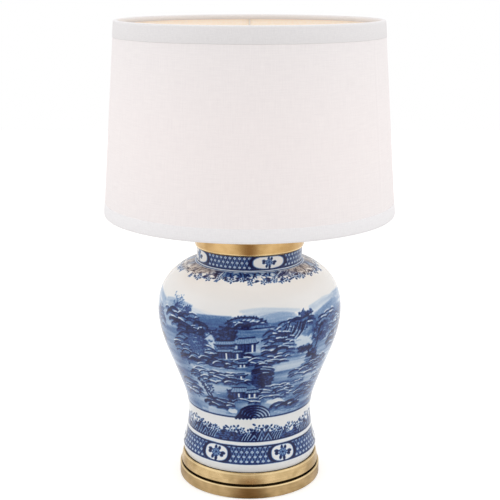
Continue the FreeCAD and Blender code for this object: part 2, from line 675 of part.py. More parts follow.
def switch():
    """Turn switch of the lampholder: its shaft and its fluted knob."""
    def on_axis(radius, start, length):
        """A cylinder along the switch's axis, from a distance in front of the lamp's axis."""
        return Part.makeCylinder(radius, length, Vector(0, -start, SWITCH_HEIGHT), FORWARD)
    shaft_length = KNOB_START + KNOB_BORE_DEPTH - KNOB_COLLAR - RUNNING - SWITCH_SHAFT_START
    save("switch_shaft", on_axis(SWITCH_SHAFT_RADIUS, SWITCH_SHAFT_START, shaft_length))
    grip = on_axis(KNOB_RADIUS, KNOB_START, KNOB_LENGTH)
    grip = grip.makeChamfer(KNOB_CHAMFER, grip.Edges)
    collar = on_axis(2 * SWITCH_SHAFT_RADIUS, KNOB_START - KNOB_COLLAR, KNOB_COLLAR + KNOB_OVERLAP)
    flutes = []
    for i in range(KNOB_FLUTES):
        angle = 2 * math.pi * i / KNOB_FLUTES
        reach = KNOB_RADIUS + KNOB_FLUTE_RADIUS / 2
        aside, above = reach * math.cos(angle), reach * math.sin(angle)
        start = Vector(aside, -KNOB_START - KNOB_PLAIN, SWITCH_HEIGHT + above)
        flutes.append(Part.makeCylinder(KNOB_FLUTE_RADIUS, KNOB_LENGTH, start, FORWARD))
    pointer = Part.makeBox(
        2 * KNOB_POINTER, 2 * KNOB_POINTER, KNOB_RADIUS - 2 * KNOB_CHAMFER,
        Vector(-KNOB_POINTER, -KNOB_START - KNOB_LENGTH - KNOB_POINTER, SWITCH_HEIGHT),
    )
    bore_start = KNOB_START - 2 * KNOB_COLLAR
    bore = on_axis(SWITCH_SHAFT_RADIUS + GAP, bore_start, KNOB_BORE_DEPTH + KNOB_COLLAR)
    save("switch_knob", grip.cut(flutes).fuse([collar, pointer]).cut(bore).removeSplitter())


def bulb_glass():
    """Pear-shaped glass, open at its neck, with a small flat on its crown."""
    def outline(inset):
        """Edges from the neck to the crown, moved in by inset."""
        neck, widest = BULB_NECK - inset, BULB_RADIUS - inset
        crown = BULB_WIDEST + math.sqrt(widest**2 - AXIS_FLAT**2)
        side = spline([(radius - inset, BULB_CAP_TOP + rise) for radius, rise in BULB_SIDE])
        return [side] + path_edges([
            (BULB_SIDE[-1][0] - inset, BULB_CAP_TOP + BULB_SIDE[-1][1]),
            (widest, BULB_WIDEST), Bend((0, 1), (AXIS_FLAT, crown)), (0, crown),
        ]), (neck, crown)
    outside, (outer_neck, outer_crown) = outline(0.0)
    inside, (inner_neck, inner_crown) = outline(GLASS_WALL)
    ends = path_edges([(0, outer_crown), (0, inner_crown)])
    ends += path_edges([(outer_neck, BULB_CAP_TOP), (inner_neck, BULB_CAP_TOP)])
    save("bulb_glass", turned_edges(outside + inside + ends))


def bulb_cap():
    """Screw cap of the bulb, with its insulator and its contact."""
    outer, root = BULB_CAP_RADIUS, BULB_THREAD_ROOT
    inner = root - BULB_CAP_WALL
    collar = BULB_NECK + BULB_CAP_WALL
    collar_top = BULB_CAP_TOP + BULB_COLLAR
    height = BULB_CAP_BOTTOM + BULB_THREAD_START
    steps = [(INSULATOR_RADIUS, BULB_CAP_BOTTOM + BULB_CAP_WALL), (inner, BULB_CAP_BOTTOM),
             (root, BULB_CAP_BOTTOM + BULB_CAP_EDGE), (root, height)]
    for _ in range(BULB_THREAD_TURNS):
        steps.append(Bend((0.55, 1), (outer, height + THREAD_PITCH / 2)))
        height += THREAD_PITCH
        steps.append(Bend((0, 1), (root, height)))
    steps += [(root, BULB_CAP_TOP - BULB_CAP_SLOPE), (collar, BULB_CAP_TOP), (collar, collar_top),
              (BULB_NECK + BULB_COLLAR_FLARE, collar_top),
              (BULB_NECK + BULB_NECK_ROOM, BULB_CAP_TOP - BULB_COLLAR_FLARE),
              (inner, BULB_CAP_TOP - BULB_CAP_SLOPE_INSIDE), (inner, BULB_CAP_BOTTOM + INSULATOR_SEAT),
              (INSULATOR_RADIUS, BULB_CAP_BOTTOM + BULB_CAP_LIP)]
    save("bulb_cap", turned(steps))
    hole = TIP_RADIUS + RUNNING
    edge = INSULATOR_RADIUS - GAP
    nose = BULB_CAP_BOTTOM - INSULATOR_NOSE
    seat = BULB_CAP_BOTTOM + INSULATOR_SEAT
    tip_end = BULB_CAP_BOTTOM + TIP_DEPTH
    save("bulb_insulator", turned([
        (hole, nose), (hole + INSULATOR_NOSE_WALL, nose), (edge, BULB_CAP_BOTTOM + INSULATOR_SLOPE),
        (edge, seat), (hole, seat),
    ]))
    save("bulb_contact", turned([
        (0, BULB_TIP), (AXIS_FLAT, BULB_TIP), Bend((1, 0), (TIP_RADIUS, BULB_TIP + TIP_DOME)),
        (TIP_RADIUS, tip_end), (0, tip_end),
    ]))


def bulb_inside():
    """Glass stem and filament of the bulb."""
    flare = BULB_NECK - GLASS_WALL - GAP
    neck = STEM_BOTTOM + STEM_FLARE_HEIGHT
    save("bulb_stem", turned([
        (flare - GLASS_WALL, STEM_BOTTOM), (flare, STEM_BOTTOM), (flare, STEM_BOTTOM + GLASS_WALL),
        Bend((-1, 0.3), (STEM_RADIUS, neck)), (STEM_RADIUS, STEM_TOP), (0, STEM_TOP),
        (0, neck), (STEM_RADIUS - GLASS_WALL, neck),
        Bend((0.1, -1), (flare - GLASS_WALL, STEM_BOTTOM + GLASS_WALL / 2)),
    ]))
    leads = [
        rod_between(at(side * LEAD_ROOT, STEM_TOP), at(side * LEAD_SPREAD, COIL_LEVEL), LEAD_WIRE)
        for side in (-1, 1)
    ]
    coil_start = at(-LEAD_SPREAD - LEAD_WIRE, COIL_LEVEL)
    coil = Part.makeCylinder(COIL_RADIUS, 2 * (LEAD_SPREAD + LEAD_WIRE), coil_start, Vector(1, 0, 0))
    save("bulb_filament", coil.fuse(leads).removeSplitter())


def shade_radius(height):
    """Outer radius of the shade's fabric at a height."""
    share = (height - SHADE_BOTTOM) / (LAMP_HEIGHT - SHADE_BOTTOM)
    return SHADE_BOTTOM_RADIUS + share * (SHADE_TOP_RADIUS - SHADE_BOTTOM_RADIUS)


def shade_layer(inset, thickness):
    """One conical layer of the shade; inset is from the fabric's outer face."""
    bottom, top = SHADE_BOTTOM + SHADE_EDGE_ROOM, LAMP_HEIGHT - SHADE_EDGE_ROOM
    low, high = shade_radius(bottom) - inset, shade_radius(top) - inset
    return turned([(low - thickness, bottom), (low, bottom), (high, top), (high - thickness, top)])


def hem(edge, far, wire_level):
    """A band of tape from far up or down to the shade's edge, folded in over the frame's ring."""
    out = 1 if edge > far else -1
    roll = edge - out * HEM_ROLL
    skin = HEM_ROLL - HEM
    near, away = shade_radius(roll) + GAP, shade_radius(far) + GAP
    flap = shade_radius(wire_level) - RING_INSET - FRAME_WIRE - GAP
    flap_end = edge - out * HEM_FLAP
    return turned([
        (away, far), (away + HEM, far), (near + HEM, roll),
        Bend((0, out), (near + HEM - HEM_ROLL, edge)), (flap - HEM + HEM_ROLL, edge),
        Bend((-1, 0), (flap - HEM, roll)), (flap - HEM, flap_end), (flap, flap_end), (flap, roll),
        Bend((0, out), (flap + skin, edge - out * HEM)), (near - skin, edge - out * HEM),
        Bend((1, 0), (near, roll)),
    ])


def shade():
    """Fabric shade: cover, backing film and hems on a wire frame with a three-armed carrier."""
    save("shade_cover", shade_layer(0.0, FABRIC))
    save("shade_lining", shade_layer(FABRIC + GAP, FILM))
    wire_top = LAMP_HEIGHT - HEM - FRAME_WIRE - GAP
    wire_bottom = SHADE_BOTTOM + HEM + FRAME_WIRE + GAP
    save("top_hem", hem(LAMP_HEIGHT, LAMP_HEIGHT - TOP_HEM_HEIGHT, wire_top))
    save("bottom_hem", hem(SHADE_BOTTOM, SHADE_BOTTOM + BOTTOM_HEM_HEIGHT, wire_bottom))
    for name, level in (("top_ring", wire_top), ("bottom_ring", wire_bottom)):
        save(name, Part.makeTorus(shade_radius(level) - RING_INSET, FRAME_WIRE, at(0, level)))
    room = FRAME_WIRE + GAP
    washer_bottom = SEAT_TOP + FACE_GAP
    arm_level = washer_bottom + CARRIER_WASHER_THICKNESS / 2
    struts, arms = [], []
    for angle in STRUT_ANGLES:
        struts.append(rod_between(
            on_circle(shade_radius(wire_bottom) - RING_INSET, angle, wire_bottom + room),
            on_circle(shade_radius(wire_top) - RING_INSET, angle, wire_top - room), FRAME_WIRE,
        ))
        arms.append(rod_between(
            on_circle(CARRIER_WASHER_RADIUS + GAP, angle, arm_level),
            on_circle(shade_radius(arm_level) - RING_INSET - room, angle, arm_level), ARM_WIRE,
        ))
    save("struts", *struts)
    save("carrier_arms", *arms)
    save("carrier_washer", ring(
        CARRIER_WASHER_RADIUS, STUD_RADIUS + CARRIER_HOLE_ROOM,
        washer_bottom, washer_bottom + CARRIER_WASHER_THICKNESS,
    ))


def finial():
    """Finial: a threaded bush on the stud, and the ball knob that is pressed on it."""
    bottom = SEAT_TOP + CARRIER_WASHER_THICKNESS + 2 * FACE_GAP
    bush_top = bottom + FINIAL_BUSH_LENGTH
    save("finial_bush", ring(FINIAL_BUSH_RADIUS, STUD_RADIUS + RUNNING, bottom, bush_top))
    bore = FINIAL_BUSH_RADIUS + RUNNING
    step = bush_top + FACE_GAP
    stud_room, room_top = STUD_RADIUS + FINIAL_ROOM, STUD_TOP + FINIAL_ROOM
    ball_centre = FINIAL_TOP - FINIAL_RADIUS
    drop = math.sqrt(FINIAL_RADIUS**2 - FINIAL_WAIST**2)
    crown = ball_centre + math.sqrt(FINIAL_RADIUS**2 - AXIS_FLAT**2)
    save("finial_knob", turned([
        (bore, bottom), (FINIAL_RADIUS, bottom), (FINIAL_RADIUS, bottom + FINIAL_COLLAR),
        Bend((-1, 0), (FINIAL_WAIST, ball_centre - drop)), Bend((drop, FINIAL_WAIST), (AXIS_FLAT, crown)),
        (0, crown), (0, room_top), (stud_room, room_top), (stud_room, step), (bore, step),
    ]))


os.makedirs("parts", exist_ok=True)
felt_pad()
base_block()
base_skirt()
base_moulding()
cord_bushing()
clamp_stack()
gaskets()
jar()
neck_cap()
harp_saddle()
harp()
harp_sleeves()
holder_cap()
holder_shell()
holder_inside()
switch()
bulb_glass()
bulb_cap()
bulb_inside()
shade()
finial()
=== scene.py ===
"""Looks of a ginger jar table lamp: painted porcelain, antique brass and a white linen shade."""

import itertools
import logging
import math
from collections.abc import Iterable, Iterator, Mapping, Sequence
from dataclasses import dataclass, field
from enum import Enum

import bpy
import numpy as np
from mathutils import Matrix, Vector


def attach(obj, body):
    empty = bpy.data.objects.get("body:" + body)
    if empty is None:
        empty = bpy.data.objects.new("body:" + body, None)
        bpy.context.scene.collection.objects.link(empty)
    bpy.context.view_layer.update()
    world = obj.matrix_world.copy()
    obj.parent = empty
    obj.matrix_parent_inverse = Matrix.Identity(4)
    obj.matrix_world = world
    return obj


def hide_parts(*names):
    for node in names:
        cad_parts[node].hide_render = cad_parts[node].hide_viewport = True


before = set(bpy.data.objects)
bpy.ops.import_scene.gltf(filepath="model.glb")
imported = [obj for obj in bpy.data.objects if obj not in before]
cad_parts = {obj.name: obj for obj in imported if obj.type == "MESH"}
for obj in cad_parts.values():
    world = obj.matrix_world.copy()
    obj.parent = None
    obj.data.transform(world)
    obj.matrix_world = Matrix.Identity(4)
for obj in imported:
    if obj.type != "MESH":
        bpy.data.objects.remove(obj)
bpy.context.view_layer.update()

MM = 0.001
Point = tuple[float, float]
Place = tuple[float, float, float]
Array = np.ndarray
Window = tuple[Array, ...]
Piece = bpy.types.Object
Node = bpy.types.Node
Socket = bpy.types.NodeSocket
Tree = bpy.types.NodeTree
log = logging.getLogger("ginger jar lamp")


# Shader nodes

def linear(colour: str) -> tuple[float, float, float, float]:
    """Turns an sRGB hex colour, six digits after a hash sign, into linear light with an alpha of 1."""
    parts = [int(colour[place:place + 2], 16) / 255 for place in (1, 3, 5)]
    light = [part / 12.92 if part <= 0.04045 else ((part + 0.055) / 1.055) ** 2.4 for part in parts]
    return light[0], light[1], light[2], 1.0


def feed(node: Node, values: Mapping[str | int, object]) -> None:
    """Gives a node's inputs, by name or number, their values or the outputs that feed them."""
    for socket, value in values.items():
        if isinstance(value, Socket):
            node.id_data.links.new(value, node.inputs[socket])
        else:
            node.inputs[socket].default_value = value


def add(
    tree: Tree, kind: str, values: Mapping[str | int, object] | None = None,
    stops: Sequence[tuple[float, str]] = (), **settings: object,
) -> Node:
    """Adds a shader node with its settings and links.

    Args:
        tree: the node tree that gets the node.
        kind: the node's type without its ShaderNode prefix.
        values: input, by name or number, to a value or to the output that feeds it.
        stops: positions and hex colours of a colour ramp.
        settings: attributes of the node.

    Returns:
        The new node.
    """
    node = tree.nodes.new("ShaderNode" + kind)
    for name, value in settings.items():
        setattr(node, name, value)
    feed(node, values or {})
    if stops:
        elements = node.color_ramp.elements
        while len(elements) < len(stops):
            elements.new(1.0)
        for element, (position, colour) in zip(elements, stops):
            element.position = position
            element.color = linear(colour)
    return node


def surface(tree: Tree) -> Socket:
    """Returns the place on the surface in the frame's metres."""
    return add(tree, "TexCoord").outputs["Object"]


def calc(tree: Tree, operation: str, *values: float | Socket) -> Socket:
    """Returns the result of a sum on values or outputs."""
    return add(tree, "Math", dict(enumerate(values)), operation=operation).outputs[0]


def fit(tree: Tree, value: Socket, ends: Point, to: Point = (0.0, 1.0), **settings: object) -> Socket:
    """Returns a value moved from one pair of ends to another."""
    return add(tree, "MapRange", dict(enumerate((value, *ends, *to))), **settings).outputs[0]


def blend(tree: Tree, share: Socket, low: object, high: object) -> Socket:
    """Returns two colours mixed by a share."""
    return add(tree, "Mix", {0: share, 6: low, 7: high}, data_type="RGBA").outputs[2]


def stretched(tree: Tree, where: Socket, scale: Place) -> Socket:
    """Returns places scaled along each axis."""
    return add(tree, "VectorMath", {0: where, 1: scale}, operation="MULTIPLY").outputs[0]


def noise(tree: Tree, where: Socket, size: float, detail: float = 3.0, roughness: float = 0.5) -> Socket:
    """Returns noise in blotches of a size in millimetres."""
    values = {"Vector": where, "Scale": 1 / (size * MM), "Detail": detail, "Roughness": roughness}
    return add(tree, "TexNoise", values).outputs[0]


# Shapes

def show(name: str, data: bpy.types.ID) -> Piece:
    """Puts a mesh, a light or a camera in the scene and returns its object."""
    thing = bpy.data.objects.new(name, data)
    bpy.context.scene.collection.objects.link(thing)
    return thing


def degrees_round(columns: int) -> Array:
    """Returns the angle of each column, with column 0 at the back and the front in the middle."""
    return np.arange(columns) * 360.0 / columns - 180.0


def revolved(name: str, profile: Array, columns: int) -> Piece:
    """Makes a closed mesh by turning a section round the lamp's axis.

    Args:
        name: the object's name.
        profile: radius and height of each point, in millimetres, in order round the section. It may
            also hold one such outline per column, as an array of columns, points and the two values.
        columns: how many steps there are round the axis.

    Returns:
        The new object, smooth shaded.
    """
    outlines = np.broadcast_to(profile, (columns, *profile.shape[-2:])) * MM
    turn = np.radians(degrees_round(columns))[:, None]
    radius, height = outlines[..., 0], outlines[..., 1]
    corners = np.stack([radius * np.sin(turn), -radius * np.cos(turn), height], axis=-1)
    points = radius.shape[1]
    first = np.arange(points)
    after = (first + 1) % points
    here = np.arange(columns)[:, None] * points
    beside = (np.arange(columns)[:, None] + 1) % columns * points
    faces = np.stack([here + first, beside + first, beside + after, here + after], axis=-1).reshape(-1, 4)
    mesh = bpy.data.meshes.new(name)
    mesh.from_pydata(corners.reshape(-1, 3), [], faces)
    mesh.shade_smooth()
    return show(name, mesh)


def through(points: Sequence[Point], spacing: float) -> Array:
    """Runs a natural cubic spline through points.

    Args:
        points: radius and height of each point.
        spacing: distance between the points of the result.

    Returns:
        Evenly spaced points on the spline, both ends included.
    """
    known = np.array(points)
    at = np.concatenate([[0.0], np.cumsum(np.hypot(*np.diff(known, axis=0).T))])
    gaps = np.diff(at)
    slopes = np.diff(known, axis=0) / gaps[:, None]
    size = len(known)
    system = np.eye(size)
    right = np.zeros((size, 2))
    for row in range(1, size - 1):
        system[row, row - 1:row + 2] = gaps[row - 1], 2 * (gaps[row - 1] + gaps[row]), gaps[row]
        right[row] = 6 * (slopes[row] - slopes[row - 1])
    curving = np.linalg.solve(system, right)
    wanted = np.linspace(0.0, at[-1], int(round(at[-1] / spacing)) + 1)
    span = np.clip(np.searchsorted(at, wanted) - 1, 0, size - 2)
    before = (wanted - at[span])[:, None]
    left = (at[span + 1] - wanted)[:, None]
    gap = gaps[span][:, None]
    low, high = curving[span], curving[span + 1]
    return (
        (low * left ** 3 + high * before ** 3) / (6 * gap)
        + (known[span] / gap - low * gap / 6) * left + (known[span + 1] / gap - high * gap / 6) * before
    )


def cloudy(places: Sequence[Array], cell: float, seed: int, layers: int = 1) -> Array:
    """Gives smooth seeded noise.

    Args:
        places: the three coordinates of each point.
        cell: size of the largest blotches.
        seed: picks the pattern.
        layers: how many times the pattern is repeated at half the size and half the weight.

    Returns:
        A value from 0 to 1 for each point.
    """
    total, weights = 0.0, 0.0
    for layer in range(layers):
        scaled = [place * 2 ** layer / cell for place in places]
        low = [np.floor(place) for place in scaled]
        ease = [(place - base) ** 2 * (3 - 2 * (place - base)) for place, base in zip(scaled, low)]
        for corner in itertools.product((0, 1), repeat=3):
            mixed = sum((base + step) * prime for base, step, prime in zip(low, corner, (127.1, 311.7, 74.7)))
            value = np.sin(mixed + (seed + layer) * 53.9) * 43758.5453
            share = np.prod([part if step else 1 - part for part, step in zip(ease, corner)], axis=0)
            total = total + share * (value - np.floor(value)) / 2 ** layer
        weights += 1 / 2 ** layer
    return total / weights


def cut_edge(
    section: Array, columns: int, radius: float, height: float, cell: float, seed: int
) -> tuple[Array, Array]:
    """Starts a soft ring whose edge isn't quite even.

    Args:
        section: its outline.
        columns: how many steps there are round the axis.
        radius: radius at which the unevenness is read.
        height: height at which it is read.
        cell: size of its waves in millimetres.
        seed: picks the pattern.

    Returns:
        One outline per column, and how far the edge is moved there, up to a quarter of a millimetre.
    """
    turns = np.radians(np.arange(columns) * 360.0 / columns)
    places = [np.cos(turns) * radius, np.sin(turns) * radius, np.full_like(turns, height)]
    waver = (cloudy(places, cell, seed, 2) - 0.5) * 0.5
    return np.repeat(section[None], columns, axis=0), waver[:, None]


def dress(finish: "Finish", *nodes: str) -> None:
    """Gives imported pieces, by name, their finish."""
    material = finish.material()
    for name in nodes:
        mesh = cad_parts[name].data
        mesh.materials.clear()
        mesh.materials.append(material)
        log.info("%s: %s", name, finish.name)


def place(piece: Piece, finish: "Finish", slot: str, body: str, *nodes: str) -> None:
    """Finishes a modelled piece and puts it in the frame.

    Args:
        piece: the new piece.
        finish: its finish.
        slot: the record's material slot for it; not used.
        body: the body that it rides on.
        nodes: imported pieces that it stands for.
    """
    piece.data.materials.append(finish.material())
    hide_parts(*nodes)
    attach(piece, body)
    log.info("%s: %d faces, %s", piece.name, len(piece.data.polygons), finish.name)


# Finishes

class Working(Enum):
    """How a metal surface was made."""

    TURNED = "turned"
    DRAWN = "drawn"
    CAST = "cast"


@dataclass(frozen=True)
class Finish:
    """A finish with its colour and its gloss; the kinds below add their own pattern."""

    name: str
    colour: str
    roughness: float = 0.5
    metallic: float = 0.0

    def material(self) -> bpy.types.Material:
        """Returns the finish as a material, made once."""
        known = bpy.data.materials.get(self.name)
        if known:
            return known
        made = bpy.data.materials.new(self.name)
        made.use_nodes = True
        shader = made.node_tree.nodes["Principled BSDF"]
        feed(shader, {
            "Base Color": linear(self.colour), "Roughness": self.roughness, "Metallic": self.metallic,
        })
        self.detail(made.node_tree, shader)
        return made

    def detail(self, tree: Tree, shader: Node) -> None:
        """Adds what the surface shows beyond its plain colour.

        Args:
            tree: the material's nodes.
            shader: its Principled node.
        """
        raise NotImplementedError

    def mottle(self, tree: Tree, shader: Node, pattern: Socket, darker: str, relief: float) -> None:
        """Colours a surface by a pattern and raises it by the same.

        Args:
            tree: the material's nodes.
            shader: its Principled node.
            pattern: the pattern, from 0 to 1.
            darker: hex colour where the pattern is low.
            relief: height of the pattern in millimetres.
        """
        tint = add(tree, "ValToRGB", {0: pattern}, stops=((0.3, darker), (0.7, self.colour)))
        bump = add(tree, "Bump", {"Height": pattern, "Distance": relief * MM})
        feed(shader, {"Base Color": tint.outputs[0], "Normal": bump.outputs[0]})


@dataclass(frozen=True)
class Metal(Finish):
    """Metal with the marks of its making and a tarnish that lies in soft patches."""

    tarnish: str = "#5A4630"
    working: Working = Working.TURNED
    marks: float = 1.0
    patches: float = 18.0
    metallic: float = 1.0
    streaks: float = 0.35
    wear: Point = (0.3, 0.62)
    duller: float = 0.12
    brighter: float = 0.06
    anisotropy: float = 0.55
    ring_drift: float = 6.0
    # Groove darkened with painted shade and patina: its bottom, top and rim, and its colour
    groove: tuple[float, ...] = ()
    shade_and_patina: str = "#21170E"
    # Heights of the rounded edges that get a painted highlight, and its colour, strength and reach
    painted_highlights: tuple[float, ...] = ()
    highlight_colour: str = "#F6DFAE"
    highlight_weight: float = 0.6
    highlight_reach: Point = (0.3, 1.7)

    def edges(self, tree: Tree, tint: Socket, up: Socket, radius: Socket) -> Socket:
        """Darkens a groove with painted shade and patina, and paints highlights along rounded edges.

        Args:
            tree: the material's nodes.
            tint: the colour so far.
            up: height of the surface.
            radius: its distance from the axis.

        Returns:
            The new colour.
        """
        # Painted highlights: a bright band along each listed edge height
        for height in self.painted_highlights:
            apart = calc(tree, "ABSOLUTE", calc(tree, "SUBTRACT", up, height * MM))
            near = fit(tree, apart, [reach * MM for reach in self.highlight_reach], (self.highlight_weight, 0.0))
            tint = blend(tree, near, tint, linear(self.highlight_colour))
        # Painted shade and patina in the groove between the tiers
        if self.groove:
            low, high, rim = self.groove
            cover = 1.0
            for value, start, end in (
                (up, low - 0.4, low), (up, high + 0.5, high), (radius, rim + 0.3, rim - 0.3),
            ):
                cover = calc(tree, "MULTIPLY", cover, fit(tree, value, (start * MM, end * MM)))
            tint = blend(tree, cover, tint, linear(self.shade_and_patina))
        return tint

    def detail(self, tree: Tree, shader: Node) -> None:
        """Tool marks run round a turned piece and along a drawn one; tarnish darkens in patches."""
        along = where = surface(tree)
        across, deep, up = add(tree, "SeparateXYZ", {0: where}).outputs
        if self.working is Working.TURNED:
            # Distance from the axis and height set the ring; the angle only drifts slowly
            flat = add(tree, "CombineXYZ", {0: across, 1: deep}).outputs[0]
            radius = add(tree, "VectorMath", {0: flat}, operation="LENGTH").outputs["Value"]
            drift = calc(tree, "MULTIPLY", calc(tree, "ARCTAN2", across, deep), self.ring_drift * MM)
            along = add(tree, "CombineXYZ", {0: drift, 1: radius, 2: up}).outputs[0]
            tangent = add(tree, "Tangent", direction_type="RADIAL", axis="Z").outputs[0]
            feed(shader, {"Anisotropic": self.anisotropy, "Tangent": tangent})
        elif self.working is Working.DRAWN:
            along = stretched(tree, where, (1.0, 1.0, 0.08))
        lines = noise(tree, along, self.marks)
        cloud = noise(tree, where, self.patches, 4.0)
        both = add(tree, "Mix", {0: self.streaks, 2: cloud, 3: lines}, data_type="FLOAT").outputs[0]
        tint = blend(tree, fit(tree, both, self.wear), linear(self.tarnish), linear(self.colour))
        if self.working is Working.TURNED:
            tint = self.edges(tree, tint, up, radius)
        gloss = fit(tree, both, (0.0, 1.0), (self.roughness + self.duller, self.roughness - self.brighter))
        bump = add(tree, "Bump", {"Height": lines, "Distance": 0.02 * MM, "Strength": 0.5}).outputs[0]
        feed(shader, {"Base Color": tint, "Roughness": gloss, "Normal": bump})


@dataclass(frozen=True)
class PaintedPorcelain(Finish):
    """White porcelain with cobalt under a clear glaze."""

    pool: float = 2.6
    speck: float = 0.9
    waver: float = 16.0

    def detail(self, tree: Tree, shader: Node) -> None:
        """Cobalt pools and thins under the brush, and the glaze over it is never quite level."""
        where = surface(tree)
        depth = add(tree, "Attribute", attribute_name="ink").outputs["Fac"]
        brown = add(tree, "Attribute", attribute_name="umber").outputs["Fac"]
        grain = calc(tree, "ADD", noise(tree, where, self.pool), noise(tree, where, self.speck, 1.0))
        laid = calc(tree, "MULTIPLY", depth, fit(tree, grain, (0.6, 1.4), (0.80, 1.20), clamp=False))
        blue = add(tree, "ValToRGB", {0: laid}, stops=(
            (0.0, self.colour), (0.12, "#CAD6E3"), (0.30, "#8DA7C8"), (0.50, "#4B70A1"), (0.71, "#273F7C"),
            (0.95, "#081040"),
        ))
        umber = add(tree, "ValToRGB", {0: laid}, stops=(
            (0.0, self.colour), (0.3, "#BDB6B3"), (0.65, "#857F84"), (1.0, "#3B3A4C"),
        ))
        level = noise(tree, where, self.waver, 1.0)
        bump = add(tree, "Bump", {"Height": level, "Distance": 0.25 * MM, "Strength": 0.4})
        # A soft glaze mirrors less of the white room than clear glass, so dark cobalt stays dark
        feed(shader, {
            "Base Color": blend(tree, brown, blue.outputs[0], umber.outputs[0]), "Normal": bump.outputs[0],
            "Specular IOR Level": 0.32,
        })


@dataclass(frozen=True)
class Linen(Finish):
    """Woven cloth with a bulb behind it: threads and slubs that run up and round the shade."""

    shadow: str = "#E4E1DC"
    thread: float = 1.6
    slub: float = 26.0
    shade_radius: float = 210.0
    glow: str = "#FFC2AD"
    glow_strength: float = 0.05
    # Square of the distance in metres from the bulb at which the glow has that strength
    glow_reach: float = 0.044
    bulb_height: float = 525.0

    def detail(self, tree: Tree, shader: Node) -> None:
        """Threads are 0.5 mm apart in real cloth and are drawn 1.6 mm apart, so that they show."""
        where = surface(tree)
        across, deep, up = add(tree, "SeparateXYZ", {0: where}).outputs
        round_it = calc(tree, "MULTIPLY", calc(tree, "ARCTAN2", across, deep), self.shade_radius * MM)
        cloth = add(tree, "CombineXYZ", {0: round_it, 1: up}).outputs[0]
        run = self.thread / self.slub
        patterns = [
            noise(tree, stretched(tree, cloth, stretch), self.thread, 2.0, 0.6)
            for stretch in ((1.0, run, 1.0), (run, 1.0, 1.0))
        ]
        weave = calc(tree, "MULTIPLY", calc(tree, "ADD", *patterns), 0.5)
        self.mottle(tree, shader, weave, self.shadow, 0.12)
        bulb = (0.0, 0.0, self.bulb_height * MM)
        apart = add(tree, "VectorMath", {0: where, 1: bulb}, operation="DISTANCE").outputs["Value"]
        near = calc(tree, "MULTIPLY", calc(tree, "POWER", apart, -2.0), self.glow_reach * self.glow_strength)
        feed(shader, {
            "Sheen Weight": 0.15, "Sheen Roughness": 0.6, "Specular IOR Level": 0.25,
            "Emission Color": linear(self.glow), "Emission Strength": near,
        })


@dataclass(frozen=True)
class Moulded(Finish):
    """A moulded or rolled surface with a fine even grain: plastic, fibre, rubber or film."""

    darker: str = "#202020"
    grain: float = 1.2
    glow: float = 0.0

    def detail(self, tree: Tree, shader: Node) -> None:
        """The grain keeps the highlight from being perfectly even; a film behind a bulb also glows."""
        feed(shader, {"Emission Color": linear("#FFECD8"), "Emission Strength": self.glow})
        self.mottle(tree, shader, noise(tree, surface(tree), self.grain), self.darker, 0.02)


@dataclass(frozen=True)
class Felt(Finish):
    """Pressed wool felt: short fibres lying every way."""

    darker: str = "#1B241D"
    fibre: float = 0.8

    def detail(self, tree: Tree, shader: Node) -> None:
        """Fibres are about 0.02 mm thick and are drawn 0.8 mm, so that they show."""
        values = {"Vector": surface(tree), "Scale": 1 / (self.fibre * MM)}
        fibres = add(tree, "TexVoronoi", values, feature="SMOOTH_F1").outputs["Distance"]
        self.mottle(tree, shader, fibres, self.darker, 0.3)
        feed(shader, {"Sheen Weight": 0.5})


@dataclass(frozen=True)
class TurnedWood(Finish):
    """Lacquered hardwood turned across the grain."""

    darker: str = "#6E4B2C"
    ring: float = 6.0

    def detail(self, tree: Tree, shader: Node) -> None:
        """Year rings wander along the block."""
        rings = add(tree, "TexWave", {
            "Vector": stretched(tree, surface(tree), (0.12, 1.0, 1.0)), "Scale": 0.05 / (self.ring * MM),
            "Distortion": 6.0, "Detail": 3.0,
        })
        self.mottle(tree, shader, rings.outputs["Fac"], self.darker, 0.05)


@dataclass(frozen=True)
class Glass(Finish):
    """Blown lamp glass, either clear or etched inside to a soft white."""

    see_through: float = 1.0
    glow: float = 0.0
    etching: float = 5.0

    def detail(self, tree: Tree, shader: Node) -> None:
        """Etching spreads the filament's light over the whole bulb."""
        etch = noise(tree, surface(tree), self.etching)
        feed(shader, {
            "Roughness": fit(tree, etch, (0.0, 1.0), (self.roughness, self.roughness + 0.08)),
            "Transmission Weight": self.see_through, "IOR": 1.5,
            "Emission Color": linear("#FFDDB0"), "Emission Strength": self.glow,
        })


# Bottom, top and rim of the groove between the base's tiers, darkened with painted shade and patina
GROOVE = (20.0, 23.0, 109.4)
# Painted highlights lie along the lower tier's rounded top edge, the moulding's bead and the cap's rolled
# lower edge
BASE_BRASS = Metal(
    "antique brass, brushed on the lathe", "#BDA176", 0.3, tarnish="#957D52", groove=GROOVE, painted_highlights=(18.6,),
)
MOULDING_BRASS = Metal(
    "antique brass, brushed and buffed", "#D3B88A", 0.25, tarnish="#A58C60", groove=GROOVE, painted_highlights=(38.2,),
)
CAP_BRASS = Metal(
    "antique brass, spun and polished", "#CBA976", 0.16, tarnish="#A3804D", patches=30.0, streaks=0.2,
    painted_highlights=(376.4,),
)
FITTING_BRASS = Metal("brass, spun and lacquered", "#CDAA66", 0.22, tarnish="#A4834C", marks=0.6)
HARP_BRASS = Metal("brass-plated steel wire", "#C9A868", 0.25, tarnish="#96794A", working=Working.DRAWN)
FINIAL_BRASS = Metal("brass, turned and polished", "#D2AC66", 0.18, tarnish="#9C7A43", marks=0.5)
ZINC = Metal("steel, zinc plated", "#B9BDC2", 0.35, tarnish="#868C95", working=Working.CAST, patches=6.0)
ALUMINIUM = Metal("aluminium, drawn into a screw shell", "#C8CACC", 0.3, tarnish="#9FA2A6", marks=0.5)
SOLDER = Metal("tin solder", "#A9AAA8", 0.42, tarnish="#77797A", working=Working.CAST, patches=2.0)
